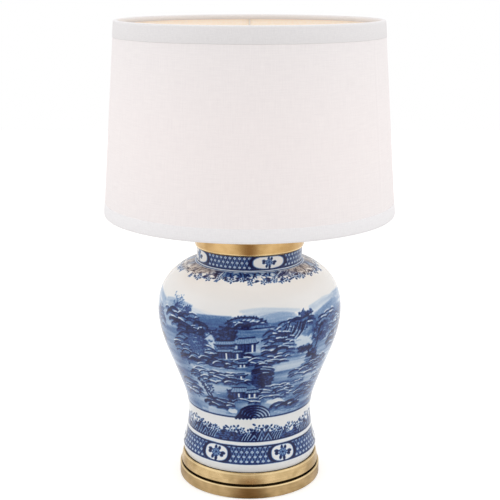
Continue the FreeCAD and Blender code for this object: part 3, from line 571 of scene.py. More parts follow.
TUNGSTEN = Metal("tungsten wire", "#6B6A6C", 0.45, tarnish="#4A494B", working=Working.DRAWN, patches=2.0)
PORCELAIN = PaintedPorcelain("porcelain, painted in cobalt and glazed", "#E9E9E9", 0.12)
LINEN = Linen("linen, plain weave on a backing", "#EFEEEF", 0.85, shadow="#E6E5E7", glow_strength=0.12)
HEM_TAPE = Linen("cotton tape, folded and glued", "#EBEAEB", 0.9, shadow="#E0DFE1", thread=1.2, slub=9.0)
# The lower tape's colour is painted lighter for the light that the table sends up onto it; it is the same
# tape as the upper one
LIT_LOWER_TAPE = Linen(
    "cotton tape, folded and glued, lower", "#F4F4F6", 0.9, shadow="#E9E9EC", thread=1.2, slub=9.0
)
SHADE_FILM = Moulded(
    "styrene film, calendered satin", "#FAF2E8", 0.45, darker="#F5EADD", grain=4.0, glow=0.16
)
WHITE_WIRE = Moulded("steel wire, powder coated white", "#F1F0EC", 0.4, darker="#DFDDD7", grain=1.5)
RUBBER = Moulded("rubber, cut from sheet", "#1D1813", 0.7, darker="#14100D", grain=1.5)
LINER_FIBRE = Moulded("vulcanised fibre board", "#C9B79A", 0.7, darker="#B5A283", grain=2.0)
PHENOLIC = Moulded("phenolic resin, moulded", "#2B2523", 0.32, darker="#1D1817", grain=1.0)
KNOB_PLASTIC = Moulded("thermoset plastic, moulded black", "#1F1C1B", 0.3, darker="#141211", grain=1.0)
BUSHING_PLASTIC = Moulded("nylon, moulded black", "#26221F", 0.45, darker="#191614", grain=1.0)
BLACK_GLASS = Moulded("vitrified black glass", "#17161A", 0.12, darker="#0E0D11", grain=2.0)
BASE_FELT = Felt("wool felt, pressed dark green", "#2F3D33", 0.95)
BLOCK_WOOD = TurnedWood("beech, turned and sealed", "#A97B4E", 0.5)
FROSTED_GLASS = Glass("soda glass, etched inside", "#F7F4EE", 0.45, see_through=0.25, glow=0.5)
CLEAR_GLASS = Glass("lead glass, clear", "#F4F6F6", 0.03)


# Brushwork on the jar

QUARTERS = (0.0, 0.25, 0.5, 0.75, 1.0)


class Tone(float, Enum):
    """Depths of cobalt, from bare porcelain to the darkest line."""

    BARE = 0.0
    PALE = 0.14
    WASH = 0.32
    MID = 0.52
    DEEP = 0.76
    DARK = 1.0


BARE, PALE, WASH, MID, DEEP, DARK = Tone


def polar(middle: Point, radius: float, turn: float, flat: float = 1.0) -> Point:
    """Returns the point at a distance and an angle in radians, on a circle or a flat oval."""
    return middle[0] + radius * math.cos(turn), middle[1] + radius * flat * math.sin(turn)


def nearest(x: Array, y: Array, start: Array, end: Array) -> tuple[Array, Array]:
    """Returns how far along a line each point lies, from 0 to 1, and how far off it."""
    run = end - start
    along = np.clip(((x - start[0]) * run[0] + (y - start[1]) * run[1]) / max(run @ run, 1e-9), 0, 1)
    return along, np.hypot(x - start[0] - along * run[0], y - start[1] - along * run[1])


@dataclass
class Canvas:
    """The jar's outer face as columns round it and rows up it, with an ink depth at each point."""

    rises: Array
    radii: Array
    columns: int
    degrees: Array = field(init=False)
    ink: Array = field(init=False)
    umber: Array = field(init=False)
    places: Window = field(init=False)
    random: np.random.Generator = field(init=False)

    def __post_init__(self) -> None:
        """Lays out blank ink and the place of each point."""
        self.degrees = degrees_round(self.columns)
        turn = np.radians(self.degrees)[None, :]
        radius = self.radii[:, None]
        self.ink = np.zeros((len(self.rises), self.columns))
        self.umber = np.zeros_like(self.ink)
        self.places = (
            radius * np.sin(turn), radius * np.cos(turn), np.repeat(self.rises[:, None], self.columns, axis=1)
        )

    def radius_at(self, rise: float) -> float:
        """Returns the jar's radius at a place up its face."""
        return float(np.interp(rise, self.rises, self.radii))

    def waver(self, window: Window, cell: float, seed: int, amount: float, layers: int = 2) -> Array:
        """Returns smooth noise round 0 in a window of the face, in blotches of a size in millimetres."""
        return (cloudy([place[window] for place in self.places], cell, seed, layers) - 0.5) * amount

    def whole(self, bottom: float, top: float) -> tuple[Window, Array]:
        """Returns the window all round the face between two rises, and its rows' rises as a column."""
        rows = np.arange(*np.searchsorted(self.rises, (bottom, top)))
        return np.ix_(rows, np.arange(self.columns)), self.rises[rows][:, None]

    def lay(self, window: Window, cover: Array, tone: float | Array) -> None:
        """Lays ink of one tone where cover is 1, and mixes it with what is there where it is less."""
        self.ink[window] = self.ink[window] * (1 - cover) + tone * cover

    def fill_in(
        self, window: Window, away: Array, soft: float, tone: float, strength: float = 1.0
    ) -> None:
        """Lays ink inside a shape.

        Args:
            window: where the shape lies on the face.
            away: each point's distance from the shape's edge, below 0 inside it.
            soft: width of the edge.
            tone: depth of the ink.
            strength: how far it covers what is under it.
        """
        self.lay(window, np.clip(0.5 - away / soft, 0, 1) * strength, tone)


@dataclass
class Sketch:
    """A motif's own sheet: millimetres right and up from a place on the jar."""

    canvas: Canvas
    degrees: float
    rise: float
    mirrored: bool = False
    edge: float = 1.15

    def window(self, low: Point, high: Point) -> tuple[Window, Array, Array]:
        """Finds the points of the face inside a box of the sheet.

        Args:
            low: the box's lower left corner.
            high: its upper right corner.

        Returns:
            The window, and its places to the right and up on the sheet.
        """
        canvas = self.canvas
        radius = canvas.radius_at(self.rise)
        step = 360.0 / canvas.columns
        ends = [(self.degrees + math.degrees(x / radius) + 180.0) / step for x in (low[0], high[0])]
        columns = np.arange(math.floor(ends[0]), math.ceil(ends[1]) + 1)
        rows = np.arange(*np.searchsorted(canvas.rises, (self.rise + low[1], self.rise + high[1])))
        x = np.radians(columns * step - 180.0 - self.degrees) * radius
        y = canvas.rises[rows] - self.rise
        return np.ix_(rows, columns % canvas.columns), x[None, :], y[:, None]

    def placed(self, points: Iterable[Point]) -> Array:
        """Returns points of the motif the right way round."""
        side = -1 if self.mirrored else 1
        return np.array([(x * side, y) for x, y in points], float)

    def spread(self, points: Array, margin: float) -> tuple[Window, Array, Array]:
        """Returns the window round points, with a margin."""
        return self.window(points.min(axis=0) - margin, points.max(axis=0) + margin)

    def brush(
        self, points: Sequence[Point], width: float, tone: float, tip: float | None = None,
        strength: float = 1.0, soft: float | None = None,
    ) -> None:
        """Draws one stroke.

        Args:
            points: its line.
            width: its width where it starts.
            tone: depth of its ink.
            tip: its width where it ends; the same if None.
            strength: how far it covers what is under it.
            soft: width of its edge.
        """
        line = self.placed(points)
        soft = soft or self.edge
        widths = np.linspace(width, width if tip is None else tip, len(line)) / 2
        window, x, y = self.spread(line, max(widths.max(), soft) + soft)
        away = np.full(np.broadcast(x, y).shape, 1e3)
        for (start, end), (thick, thin) in zip(itertools.pairwise(line), itertools.pairwise(widths)):
            along, gap = nearest(x, y, start, end)
            away = np.minimum(away, gap - thick - (thin - thick) * along)
        self.canvas.fill_in(window, away, soft, tone, strength)

    def leaf(
        self, base: Point, turn: float, length: float, width: float, tone: float, strength: float = 1.0
    ) -> None:
        """Draws a pointed leaf or petal.

        Args:
            base: where it grows from.
            turn: its direction in degrees, 0 to the right and 90 up.
            length: from base to tip.
            width: at its middle.
            tone: depth of its ink.
            strength: how far it covers what is under it.
        """
        start, end = self.placed([base, polar(base, length, math.radians(turn))])
        window, x, y = self.spread(np.array([start, end]), width / 2 + self.edge)
        run = end - start
        reach = max(float(np.hypot(*run)), 1e-6)
        along = ((x - start[0]) * run[0] + (y - start[1]) * run[1]) / reach ** 2
        aside = np.abs((x - start[0]) * run[1] - (y - start[1]) * run[0]) / reach
        half = width / 2 * np.sin(np.pi * np.clip(along, 0, 1)) ** 0.6
        past = np.maximum(np.maximum(-along, along - 1), 0) * reach
        away = np.hypot(np.maximum(aside - half, 0), past) + np.minimum(aside - half, 0)
        self.canvas.fill_in(window, away, self.edge, tone, strength)

    def blot(
        self, middle: Point, wide: float, high: float, tone: float, ragged: float = 0.0,
        cell: float = 6.0, soft: float | None = None, strength: float = 1.0, seed: int = 1,
    ) -> None:
        """Lays an oval patch.

        Args:
            middle: its middle.
            wide: its width.
            high: its height.
            tone: depth of its ink.
            ragged: how far the edge wanders, as a share of the smaller radius.
            cell: size of the wandering.
            soft: width of its edge.
            strength: how far it covers what is under it.
            seed: picks the shape of the edge.
        """
        (centre,) = self.placed([middle])
        half = np.array([wide / 2, high / 2])
        soft = soft or self.edge
        box = np.array([centre - half * (1 + ragged), centre + half * (1 + ragged)])
        window, x, y = self.spread(box, soft)
        small = half.min()
        away = (np.hypot((x - centre[0]) / half[0], (y - centre[1]) / half[1]) - 1) * small
        away = away + self.canvas.waver(window, cell, seed, 2) * ragged * small
        self.canvas.fill_in(window, away, soft, tone, strength)

    def fill(self, points: Sequence[Point], tone: float) -> None:
        """Fills the shape with straight sides between points in one tone."""
        corners = self.placed(points)
        window, x, y = self.spread(corners, self.edge)
        away = np.full(np.broadcast(x, y).shape, 1e3)
        inside = np.zeros(away.shape, bool)
        for start, end in zip(corners, np.roll(corners, -1, axis=0)):
            away = np.minimum(away, nearest(x, y, start, end)[1])
            run = end - start
            crosses = (start[1] > y) != (end[1] > y)
            inside ^= crosses & (x < run[0] * (y - start[1]) / (run[1] or 1e-9) + start[0])
        self.canvas.fill_in(window, np.where(inside, -away, away), self.edge, tone)


@dataclass
class Motif(Sketch):
    """Traditional river landscape motifs, drawn from plain strokes."""

    def rows_down(self, rows: int, wide: float, roundness: float, unevenness: Point) -> Iterator[Point]:
        """Walks down the rows of a rounded shape.

        Args:
            rows: how many there are.
            wide: width of the shape.
            roundness: how much narrower its first and last rows are.
            unevenness: smallest and largest share of its width that a row takes.

        Yields:
            The height of each row, from 1 down to -1, and half its width.
        """
        for row in range(rows):
            up = 1 - (row + 0.5) / rows * 2
            share = self.canvas.random.uniform(*unevenness)
            yield up, wide / 2 * math.sqrt(1 - roundness * up * up) * share

    def sweep(
        self, start: Point, end: Point, wide: float, tone: float, hairs: int = 7, arch: float = 0.0,
        strength: float = 0.75,
    ) -> None:
        """Draws one pull of a wide wet brush, whose hairs leave streaks.

        Args:
            start: middle of the brush where it starts.
            end: middle of the brush where it ends.
            wide: width of the brush.
            tone: depth of its ink.
            hairs: how many streaks it leaves.
            arch: how far its middle rises above its ends.
            strength: how far it covers what is under it.
        """
        pick = self.canvas.random
        reach = end[0] - start[0]
        for hair in range(hairs):
            lift = (hair / (hairs - 1) - 0.5) * wide
            first = (start[0] + reach * pick.uniform(-0.05, 0.3), start[1] + lift)
            last = (end[0] - reach * pick.uniform(-0.05, 0.3), end[1] + lift * 0.85)
            line = [
                (first[0] + (last[0] - first[0]) * share, first[1] + (last[1] - first[1]) * share
                 + arch * math.sin(math.pi * share))
                for share in QUARTERS
            ]
            ink = max(0.0, tone + pick.uniform(-0.08, 0.08))
            self.brush(line, wide / hairs * 2.6, ink, wide / hairs * 1.5, strength, 2.4)

    def strata(
        self, middle: Point, wide: float, high: float, tone: float = MID, tilt: float = 0.0,
        lights: float = 0.5, course: float = 5.0,
    ) -> None:
        """Draws a layered shore or slope: courses of arched strokes, bare along their crests.

        Args:
            middle: middle of the slope.
            wide: its width.
            high: its height.
            tone: depth of its body.
            tilt: how much it rises to the right, per millimetre.
            lights: share of the strokes with a bare crest.
            course: height of one course.
        """
        pick = self.canvas.random
        rows = max(2, round(high / course))
        for up, half in self.rows_down(rows, wide, 0.8, (0.88, 1.06)):
            x = -half
            while x < half - 3:
                run = min(pick.uniform(9.0, 30.0), half - x + 3)
                y = up * high / 2 + tilt * (x + run / 2) + pick.uniform(-1.8, 1.8)
                crest = run * pick.uniform(0.09, 0.24)
                line = [
                    (middle[0] + x + run * share, middle[1] + y + crest * math.sin(math.pi * share ** 0.8))
                    for share in (0.0, 0.2, 0.4, 0.6, 0.8, 1.0)
                ]
                body = [(along, above - 2.2) for along, above in line]
                self.brush(body, 4.8, min(1.0, tone * pick.uniform(0.55, 1.35)), 3.0, 0.9, 1.8)
                for nick in range(1, 5, pick.integers(1, 3)):
                    along, above = line[nick]
                    self.brush([(along, above - 0.8), (along + 1.2, above - 3.6)], 1.1, DEEP, 0.7, 0.7)
                self.brush(line, pick.uniform(1.6, 2.8), min(1.0, tone + 0.45), 1.0)
                if pick.random() < lights:
                    begin = pick.integers(0, 3)
                    light = [(along, above + 1.9) for along, above in line[begin:begin + 4]]
                    self.brush(light, pick.uniform(1.4, 2.8), BARE, 1.0, 0.95)
                x += run * pick.uniform(0.5, 1.0)

    def crown(
        self, middle: Point, wide: float, high: float, tone: float = DARK, lights: float = 0.3,
        clump: float = 10.0,
    ) -> None:
        """Draws a tree's leaves as flat clumps one above the other, edged with small dabs.

        Args:
            middle: middle of the crown.
            wide: its width.
            high: its height.
            tone: depth of its leaves.
            lights: share of the clumps with a pale upper edge.
            clump: width of one clump.
        """
        pick = self.canvas.random
        rows = max(2, round(high / (clump * 0.55)))
        for up, half in self.rows_down(rows, wide, 0.96, (0.9, 1.12)):
            count = max(1, round(2 * half / clump))
            across, tall = 2 * half / count * 1.3, high / rows * 1.25
            for number in range(count):
                x = middle[0] + ((number + 0.5) / count * 2 - 1) * half + pick.uniform(-1.5, 1.5)
                y = middle[1] + up * high / 2 + pick.uniform(-1.0, 1.0)
                ink, seed = tone * pick.uniform(0.72, 1.0), int(pick.integers(1000))
                self.blot((x, y), across, tall, ink, 0.7, 3.0, 1.3, 0.92, seed)
                if pick.random() < lights:
                    turns = [math.radians(155 - 20 * step) for step in range(7)]
                    rim = [polar((x, y + 0.4), across * 0.4, turn, 0.5) for turn in turns]
                    self.brush(rim, 1.1, PALE, 0.6)
                for _ in range(5):
                    spot = (x + across * pick.uniform(-0.55, 0.55), y + tall * pick.uniform(-0.3, 0.55))
                    turn, length = pick.uniform(20, 160), pick.uniform(2.2, 3.8)
                    self.leaf(spot, turn, length, 1.8, min(1.0, tone * 1.1), 0.9)

    def twigs(self, foot: Point, lean: float, high: float, spread: float, tone: float = DEEP) -> None:
        """Draws a fine tree: a bent trunk with twigs and a few leaves.

        Args:
            foot: where its trunk starts.
            lean: how far the top stands to the side.
            high: height of the trunk.
            spread: width of its twigs.
            tone: depth of its ink.
        """
        pick = self.canvas.random
        trunk = [
            (foot[0] + lean * share ** 1.6 + math.sin(share * 6) * spread * 0.06, foot[1] + high * share)
            for share in QUARTERS
        ]
        self.brush(trunk, 2.6, tone, 1.0)
        for twig in range(9):
            share = 0.35 + 0.65 * twig / 8
            root = (foot[0] + lean * share ** 1.6, foot[1] + high * share)
            turn = math.radians(90 + (1 if twig % 2 else -1) * pick.uniform(25, 75))
            tip = polar(root, spread * pick.uniform(0.3, 0.55), turn)
            self.brush([root, tip], 1.4, tone, 0.8)
            for _ in range(5):
                spot = (tip[0] + pick.uniform(-3.0, 3.0), tip[1] + pick.uniform(-2.0, 3.0))
                self.leaf(spot, pick.uniform(0, 180), 3.0, 1.5, tone, 0.9)

    def hall(
        self, foot: Point, wide: float, wall: float, roof: float, doors: Sequence[float] = (0.5,)
    ) -> None:
        """Draws a long low hall: a pale tiled roof over a dark wall with lit doors.

        Args:
            foot: left end of its lowest line.
            wide: width of its wall.
            wall: height of its wall.
            roof: height of its roof.
            doors: places of the doors along the wall, from 0 to 1.
        """
        ridge, over = wall + roof, 3.0

        def line(*points: Point) -> list[Point]:
            """Returns points of the hall's front on the sheet, where its lines rise to the right."""
            return [(foot[0] + x, foot[1] + y + 0.1 * x) for x, y in points]

        self.fill(line((0, 0), (wide, 0), (wide, wall), (0, wall)), DEEP)
        posts = max(2, round(wide / 5))
        for post in range(posts + 1):
            x = wide * post / posts
            self.brush(line((x, 0), (x, wall)), 1.3, DARK)
        for door in doors:
            x = wide * door
            self.brush(line((x, 0.8), (x, wall * 0.82)), 2.6, BARE)
        self.brush(line((-1, 0), (wide + 1, 0)), 1.3, PALE)
        self.fill(line((-over, wall), (wide + over, wall), (wide - 1, ridge), (1.5, ridge)), WASH)
        tiles = max(4, round(wide / 3.2))
        for tile in range(tiles + 1):
            eave = -over + (wide + 2 * over) * tile / tiles
            self.brush(line((eave, wall), (1.5 + (wide - 2.5) * tile / tiles, ridge)), 0.9, MID)
        tips = (-over - 1.5, wall + 1.6), (wide + over + 1.5, wall + 1.6)
        self.brush(line(tips[0], (-over, wall), (wide + over, wall), tips[1]), 1.9, DARK)
        self.brush(line((1.0, ridge), (wide - 0.5, ridge)), 1.9, DARK)

    def bridge(self, foot: Point, radius: float) -> None:
        """Draws a humped bridge: courses of stone that climb from the left and curl over its arch.

        Args:
            foot: middle of the arch at the water.
            radius: outer radius of the arch.
        """
        courses, flat = 4, 0.86
        step = radius / (courses + 0.8)
        dome = [polar(foot, radius, turn, flat) for turn in np.linspace(0.0, math.pi, 13)]
        self.fill([*dome, (foot[0] - radius * 1.2, foot[1] - 1)], DEEP)
        for course in range(courses + 1):
            outer = radius - course * step
            rise = [polar(foot, outer, math.radians(4 + 15 * turn), flat) for turn in range(10)]
            ramp = [(foot[0] - outer * 0.86, foot[1] + outer * 0.28), (foot[0] - outer * 1.15, foot[1] - 1)]
            line = [*rise, *ramp]
            self.brush(line, step * 0.95, DARK)
            self.brush([(x + step * 0.3, y - step * 0.45) for x, y in line], step * 0.46, BARE, 1.2, 0.9)

    def ripples(self, middle: Point, wide: float, high: float, count: int, tone: float = PALE) -> None:
        """Draws short level strokes on water, scattered over a field of a width and a height."""
        pick = self.canvas.random
        for _ in range(count):
            x = middle[0] + wide * pick.uniform(-0.5, 0.5)
            y = middle[1] + high * pick.uniform(-0.5, 0.5)
            run = pick.uniform(5, 15)
            self.brush([(x, y), (x + run / 2, y + 0.5), (x + run, y)], 1.3, tone, 0.6, 0.75)

    def hill(self, middle: Point, wide: float, high: float) -> None:
        """Draws a far domed hill: woods along its crest, light folds under it and a dark foot.

        Args:
            middle: middle of its foot.
            wide: its width.
            high: its height.
        """
        pick = self.canvas.random
        x, y = middle
        half = wide / 2
        shares = np.linspace(-1, 1, 15)
        dome = [(x + half * share, y + high * (1 - abs(share) ** 2.2) ** 0.8) for share in shares]
        self.fill([(x - half, y), *dome, (x + half, y)], DEEP * 0.75)
        for along, above in dome[2:-2]:
            for _ in range(3):
                spot = (along + pick.uniform(-2, 2), above + pick.uniform(-2.5, 0.5))
                self.leaf(spot, pick.uniform(40, 140), pick.uniform(1.6, 3.6), 2.4, DARK)
        self.brush(dome[1:-1], 2.0, DARK, 1.2)
        self.strata((x, y + high * 0.3), wide * 0.84, high * 0.55, DEEP, 0.0, 0.25, 4.4)
        for dash in range(7):
            share = dash / 6 - 0.5
            spot = (x + share * wide * 0.56, y + high * (0.72 - share * share * 0.9))
            self.leaf(spot, pick.uniform(-20, 20), 5.5, 1.7, BARE, 0.9)
        self.brush([(x - half - 3, y + 1), (x, y - 1), (x + half + 4, y + 2)], 2.6, DARK, 1.2)

    def blossom(self, middle: Point, radius: float, petals: int) -> None:
        """Draws an open flower: dark petals edged with bare porcelain round a mid heart.

        Args:
            middle: middle of the flower.
            radius: length of a petal.
            petals: how many there are.
        """
        turn = self.canvas.random.uniform(0, 360)
        angles = [turn + petal * 360 / petals for petal in range(petals)]
        for angle in angles:
            self.leaf(middle, angle, radius * 1.2, radius * 0.95, BARE)
        for angle in angles:
            root = polar(middle, radius * 0.36, math.radians(angle))
            self.leaf(root, angle, radius * 0.7, radius * 0.52, DARK)
        self.blot(middle, radius * 0.55, radius * 0.55, MID)

    def spray(self, base: Point, turn: float, length: float, pairs: int, tone: float) -> None:
        """Draws a curling stalk with leaflets on both sides.

        Args:
            base: where it grows from.
            turn: its direction in degrees where it starts.
            length: length of the stalk.
            pairs: how many pairs of leaflets it has.
            tone: depth of its ink.
        """
        curl = self.canvas.random.uniform(-50, 50)
        line = [base]
        for step in range(4):
            line.append(polar(line[-1], length / 4, math.radians(turn + curl * step / 3)))
        self.brush(line, 1.5, tone, 0.9)
        for pair in range(pairs):
            root = line[min(4, 1 + pair * 4 // pairs)]
            for side in (-1, 1):
                self.leaf(root, turn + curl * pair / pairs + side * 50, length * 0.3, 2.2, tone)


@dataclass
class Decoration:
    """The whole painted scheme: bands of diaper, borders of leaves and flowers, and a landscape.

    The places of its bands are millimetres up the jar's face, measured along it from the foot.
    """

    canvas: Canvas
    foot_line: float = 15.5
    foot_band_top: float = 42.0
    ring_top: float = 50.0
    border_top: float = 82.0
    landscape_bottom: float = 89.0
    landscape_top: float = 272.0
    fringe_bottom: float = 319.0
    neck_line: float = 349.0
    neck_band_bottom: float = 352.5
    neck_band_top: float = 373.5
    line_edge: float = 1.2

    def paint(self) -> None:
        """Paints every part of the scheme, from the washes to the last lines."""
        self.landscape()
        self.shoulder_fringe()
        self.foot_border()
        self.diaper(self.foot_line, self.foot_band_top, 8.3, 7.2)
        self.diaper(self.neck_band_bottom, self.neck_band_top, 7.4, 6.8)
        for angle in (-150.0, -90.0, -30.0, 30.0, 90.0, 150.0):
            self.medallion(angle, (self.foot_line + self.foot_band_top) / 2, 39.0, 24.5)
        for angle in (-159.0, -69.0, 21.0, 111.0):
            self.medallion(angle, (self.neck_band_bottom + self.neck_band_top) / 2, 50.0, 18.8)
        self.lines()

    def lines(self) -> None:
        """Draws the plain lines that part the bands."""
        for rise, width, tone in (
            (self.foot_line, 1.8, DARK), (self.foot_band_top, 2.6, DARK),
            (self.ring_top, 2.0, DARK), (self.landscape_bottom, 2.0, DARK),
            (self.neck_line, 1.6, DEEP), (self.neck_band_bottom, 2.0, DARK),
            (self.neck_band_top, 3.0, DARK),
        ):
            window, rises = self.canvas.whole(rise - 4, rise + 4)
            away = np.abs(rises - rise + self.canvas.waver(window, 14.0, 3, 0.5, 1)) - width / 2
            self.canvas.fill_in(window, away, self.line_edge, tone)

    def diaper(self, bottom: float, top: float, wide: float, high: float) -> None:
        """Fills a band with bare lozenges on a dark ground, joined by a pale lattice.

        Args:
            bottom: where the band starts.
            top: where it ends.
            wide: width of a lozenge, in millimetres.
            high: its height.
        """
        canvas = self.canvas
        window, rises = canvas.whole(bottom, top)
        count = round(math.tau * canvas.radius_at((bottom + top) / 2) / wide)
        across = (canvas.degrees + 180.0)[None, :] / 360.0 * count
        up = (rises - bottom) / high
        lozenge = np.abs((across + np.floor(up) * 0.5) % 1 - 0.5) + np.abs(up % 1 - 0.5)
        ground = 0.9 + canvas.waver(window, 5.0, 41, 0.3)
        canvas.lay(window, np.ones(lozenge.shape), np.clip(ground, 0.5, 1.0))
        # The lattice's lines cross half way between the lozenges
        for lean in (-1, 1):
            line = np.abs((across + lean * up * 0.5 + 0.25) % 0.5 - 0.25)
            canvas.lay(window, np.clip((0.09 - line) * 12, 0, 0.7), WASH)
        canvas.lay(window, np.clip((0.34 - lozenge) * 9, 0, 1), 0.03)
        canvas.lay(window, np.clip((0.15 - lozenge) * 9, 0, 0.85), DEEP)

    def medallion(self, degrees: float, rise: float, wide: float, high: float) -> None:
        """Draws a bare round-ended reserve with a dark surround, and a flower with its leaves in it.

        Args:
            degrees: its place round the jar.
            rise: its place up the face.
            wide: width of the reserve.
            high: its height.
        """
        sheet = Motif(self.canvas, degrees, rise)
        # The power makes an oblong whose ends are almost round
        power = 2.6
        for grow, tone in ((9.5, DARK), (0.0, BARE)):
            half = (wide + grow * 1.3) / 2
            tall = (high + grow * 0.4) / 2
            window, x, y = sheet.window((-half - 2, -tall - 2), (half + 2, tall + 2))
            away = (np.abs(x / half) ** power + np.abs(y / tall) ** power) ** (1 / power) - 1
            self.canvas.fill_in(window, away * tall, self.line_edge, tone)
        for leaf in range(8):
            turn = math.radians(leaf * 45 + 10)
            root = (math.cos(turn) * high * 0.32, math.sin(turn) * high * 0.19)
            lean = math.degrees(turn) + (24 if leaf % 2 else -16)
            sheet.brush([(0, 0), root], 1.2, DEEP)
            sheet.leaf(root, lean, high * (0.27 if leaf % 3 else 0.34), high * 0.19, DARK)
        for petal in range(7):
            sheet.leaf((0, 0.5), petal * 360 / 7, high * 0.3, high * 0.2, DEEP)
            sheet.leaf((0, 0.5), petal * 360 / 7, high * 0.24, high * 0.11, WASH)
        sheet.blot((0, 0.5), high * 0.12, high * 0.12, DARK)

    def foot_border(self) -> None:
        """Paints the border above the foot: hatched ground, pointed rocks, grass and flowers."""
        canvas = self.canvas
        pick = canvas.random
        bottom = self.ring_top
        window, rises = canvas.whole(bottom, self.border_top)
        edge = bottom + 13 + canvas.waver(window, 15.0, 21, 19)
        ground = np.clip((edge - rises) / 2.0 + 0.5, 0, 1)
        tone = DEEP + 0.06 + canvas.waver(window, 4.0, 22, 0.7)
        canvas.lay(window, ground, np.clip(tone, 0.25, 1.0))
        hatch = (rises + 1.4 * np.sin(np.radians(canvas.degrees * 9))[None, :]) % 3.1
        canvas.lay(window, ground * np.clip((hatch - 2.1) * 2, 0, 0.5), WASH)
        for angle in np.arange(-180, 180, 5.0):
            sheet = Motif(canvas, angle + pick.uniform(-2, 2), bottom + pick.uniform(9, 15))
            sheet.spray((0, -4), pick.uniform(45, 135), pick.uniform(8, 16), 3, DARK)
            sheet.leaf((0, -2), pick.uniform(60, 120), pick.uniform(6, 11), 2.4, DEEP)
        for angle in np.arange(-178, 180, 13.5):
            sheet = Motif(canvas, angle + pick.uniform(-3, 3), bottom + pick.uniform(15, 23))
            for side in (-1, 1):
                spot = (side * pick.uniform(3.5, 6.0), side * pick.uniform(-2.5, 2.5))
                sheet.blossom(spot, pick.uniform(4.6, 6.2), 4)
                sheet.leaf((side * 9, pick.uniform(-4, 3)), 90 - side * 60, 6.0, 2.8, DARK)
        for angle in (-172.0, -112.0, -52.0, 9.0, 68.0, 128.0):
            sheet = Motif(canvas, angle, bottom + 1)
            for side in range(-7, 8):
                line = [(side * 4.2, 0), (side * 4.2 + 2.0, 5), (side * 4.2 + 6.0, 11)]
                sheet.brush(line, 2.4, DARK, 1.6)
                sheet.brush([(x + 2.0, y) for x, y in line], 1.4, PALE, 0.8)
            for shift, high in ((-9, 14), (3, 21), (13, 16)):
                for grow, ink in ((0.0, DARK), (2.6, WASH), (5.0, DARK), (7.6, WASH)):
                    half = 10 - grow
                    sheet.fill([(shift - half, 0), (shift + half, 0), (shift + 1, high - grow * 1.5)], ink)

    def shoulder_fringe(self) -> None:
        """Paints the leaves that hang from the foot of the neck, with small flowers at their ends."""
        canvas = self.canvas
        pick = canvas.random
        bottom, top = self.fringe_bottom, self.neck_line
        window, rises = canvas.whole(bottom, top - 2)
        edge = top - 15 + canvas.waver(window, 12.0, 31, 9)
        ground = np.clip(0.56 + canvas.waver(window, 7.0, 33, 1.2), 0.12, 1.0)
        canvas.lay(window, np.clip((rises - edge) / 3 + 0.5, 0, 1), ground)
        # Iron in the glaze shows as brown patches to the left and the right of the front
        side = np.clip((np.abs((canvas.degrees + 90) % 180 - 90) - 22) / 20, 0, 1)[None, :]
        patches = np.clip((canvas.waver(window, 18.0, 35, 1.0, 1) + 0.25) * 2.4, 0, 1)
        canvas.umber[window] = side * patches * np.clip((rises - top + 26) / 6, 0, 1)
        for angle in np.arange(-180, 180, 2.3):
            sheet = Motif(canvas, angle, top - 1)
            turn = 270 + pick.uniform(-55, 55)
            length = pick.uniform(10, 21)
            tone = float(pick.choice([WASH, DEEP, DARK, DARK, PALE]))
            sheet.leaf((0, -pick.uniform(0, 5)), turn, length, pick.uniform(1.5, 2.8), tone)
        for angle in np.arange(-179, 180, 6.5):
            sheet = Motif(canvas, angle + pick.uniform(-2, 2), top - pick.uniform(12, 16))
            sheet.spray((0, 0), 270 + pick.uniform(-50, 50), pick.uniform(10, 18), 4, DEEP)
        for angle in np.arange(-178, 180, 9.5):
            sheet = Motif(canvas, angle + pick.uniform(-2, 2), bottom + pick.uniform(3, 11))
            sheet.blossom((0, 0), pick.uniform(4.4, 6.4), 5)
            for side in (-1, 1):
                sheet.leaf((side * 5.5, pick.uniform(-1, 4)), 90 - side * 70, 6.5, 3.4, DARK)

    def landscape(self) -> None:
        """Paints the river landscape all the way round."""
        self.mist()
        for degrees, mirrored, seed in ((180.0, True, 40), (0.0, False, 60)):
            self.canvas.random = np.random.default_rng(seed)
            self.shore_side(Motif(self.canvas, degrees - 96.0, 180.0, not mirrored))
            for view, rise in (
                (self.far_hills, 248.0), (self.halls, 205.0), (self.terraces, 160.0),
                (self.near_shore, 116.0),
            ):
                view(Motif(self.canvas, degrees, rise, mirrored))

    def mist(self) -> None:
        """Lays the ground washes: pale sky, blue distance and streaky darker water."""
        canvas = self.canvas
        window, rises = canvas.whole(self.landscape_bottom, self.landscape_top + 16)
        edge = self.landscape_top - 10 + canvas.waver(window, 46.0, 11, 26)
        # A wet brush is drawn round the jar, so its streaks are eight times as long as they are high
        level = [place[window] * scale for place, scale in zip(canvas.places, (0.12, 0.12, 1.0))]
        streaks = (cloudy(level, 7.0, 13, 2) - 0.5) * 0.7
        tone = np.clip(0.42 + canvas.waver(window, 34.0, 12, 0.5) + streaks, 0.06, 0.72)
        canvas.lay(window, np.clip((edge - rises) / 4.0 + 0.5, 0, 1), tone)

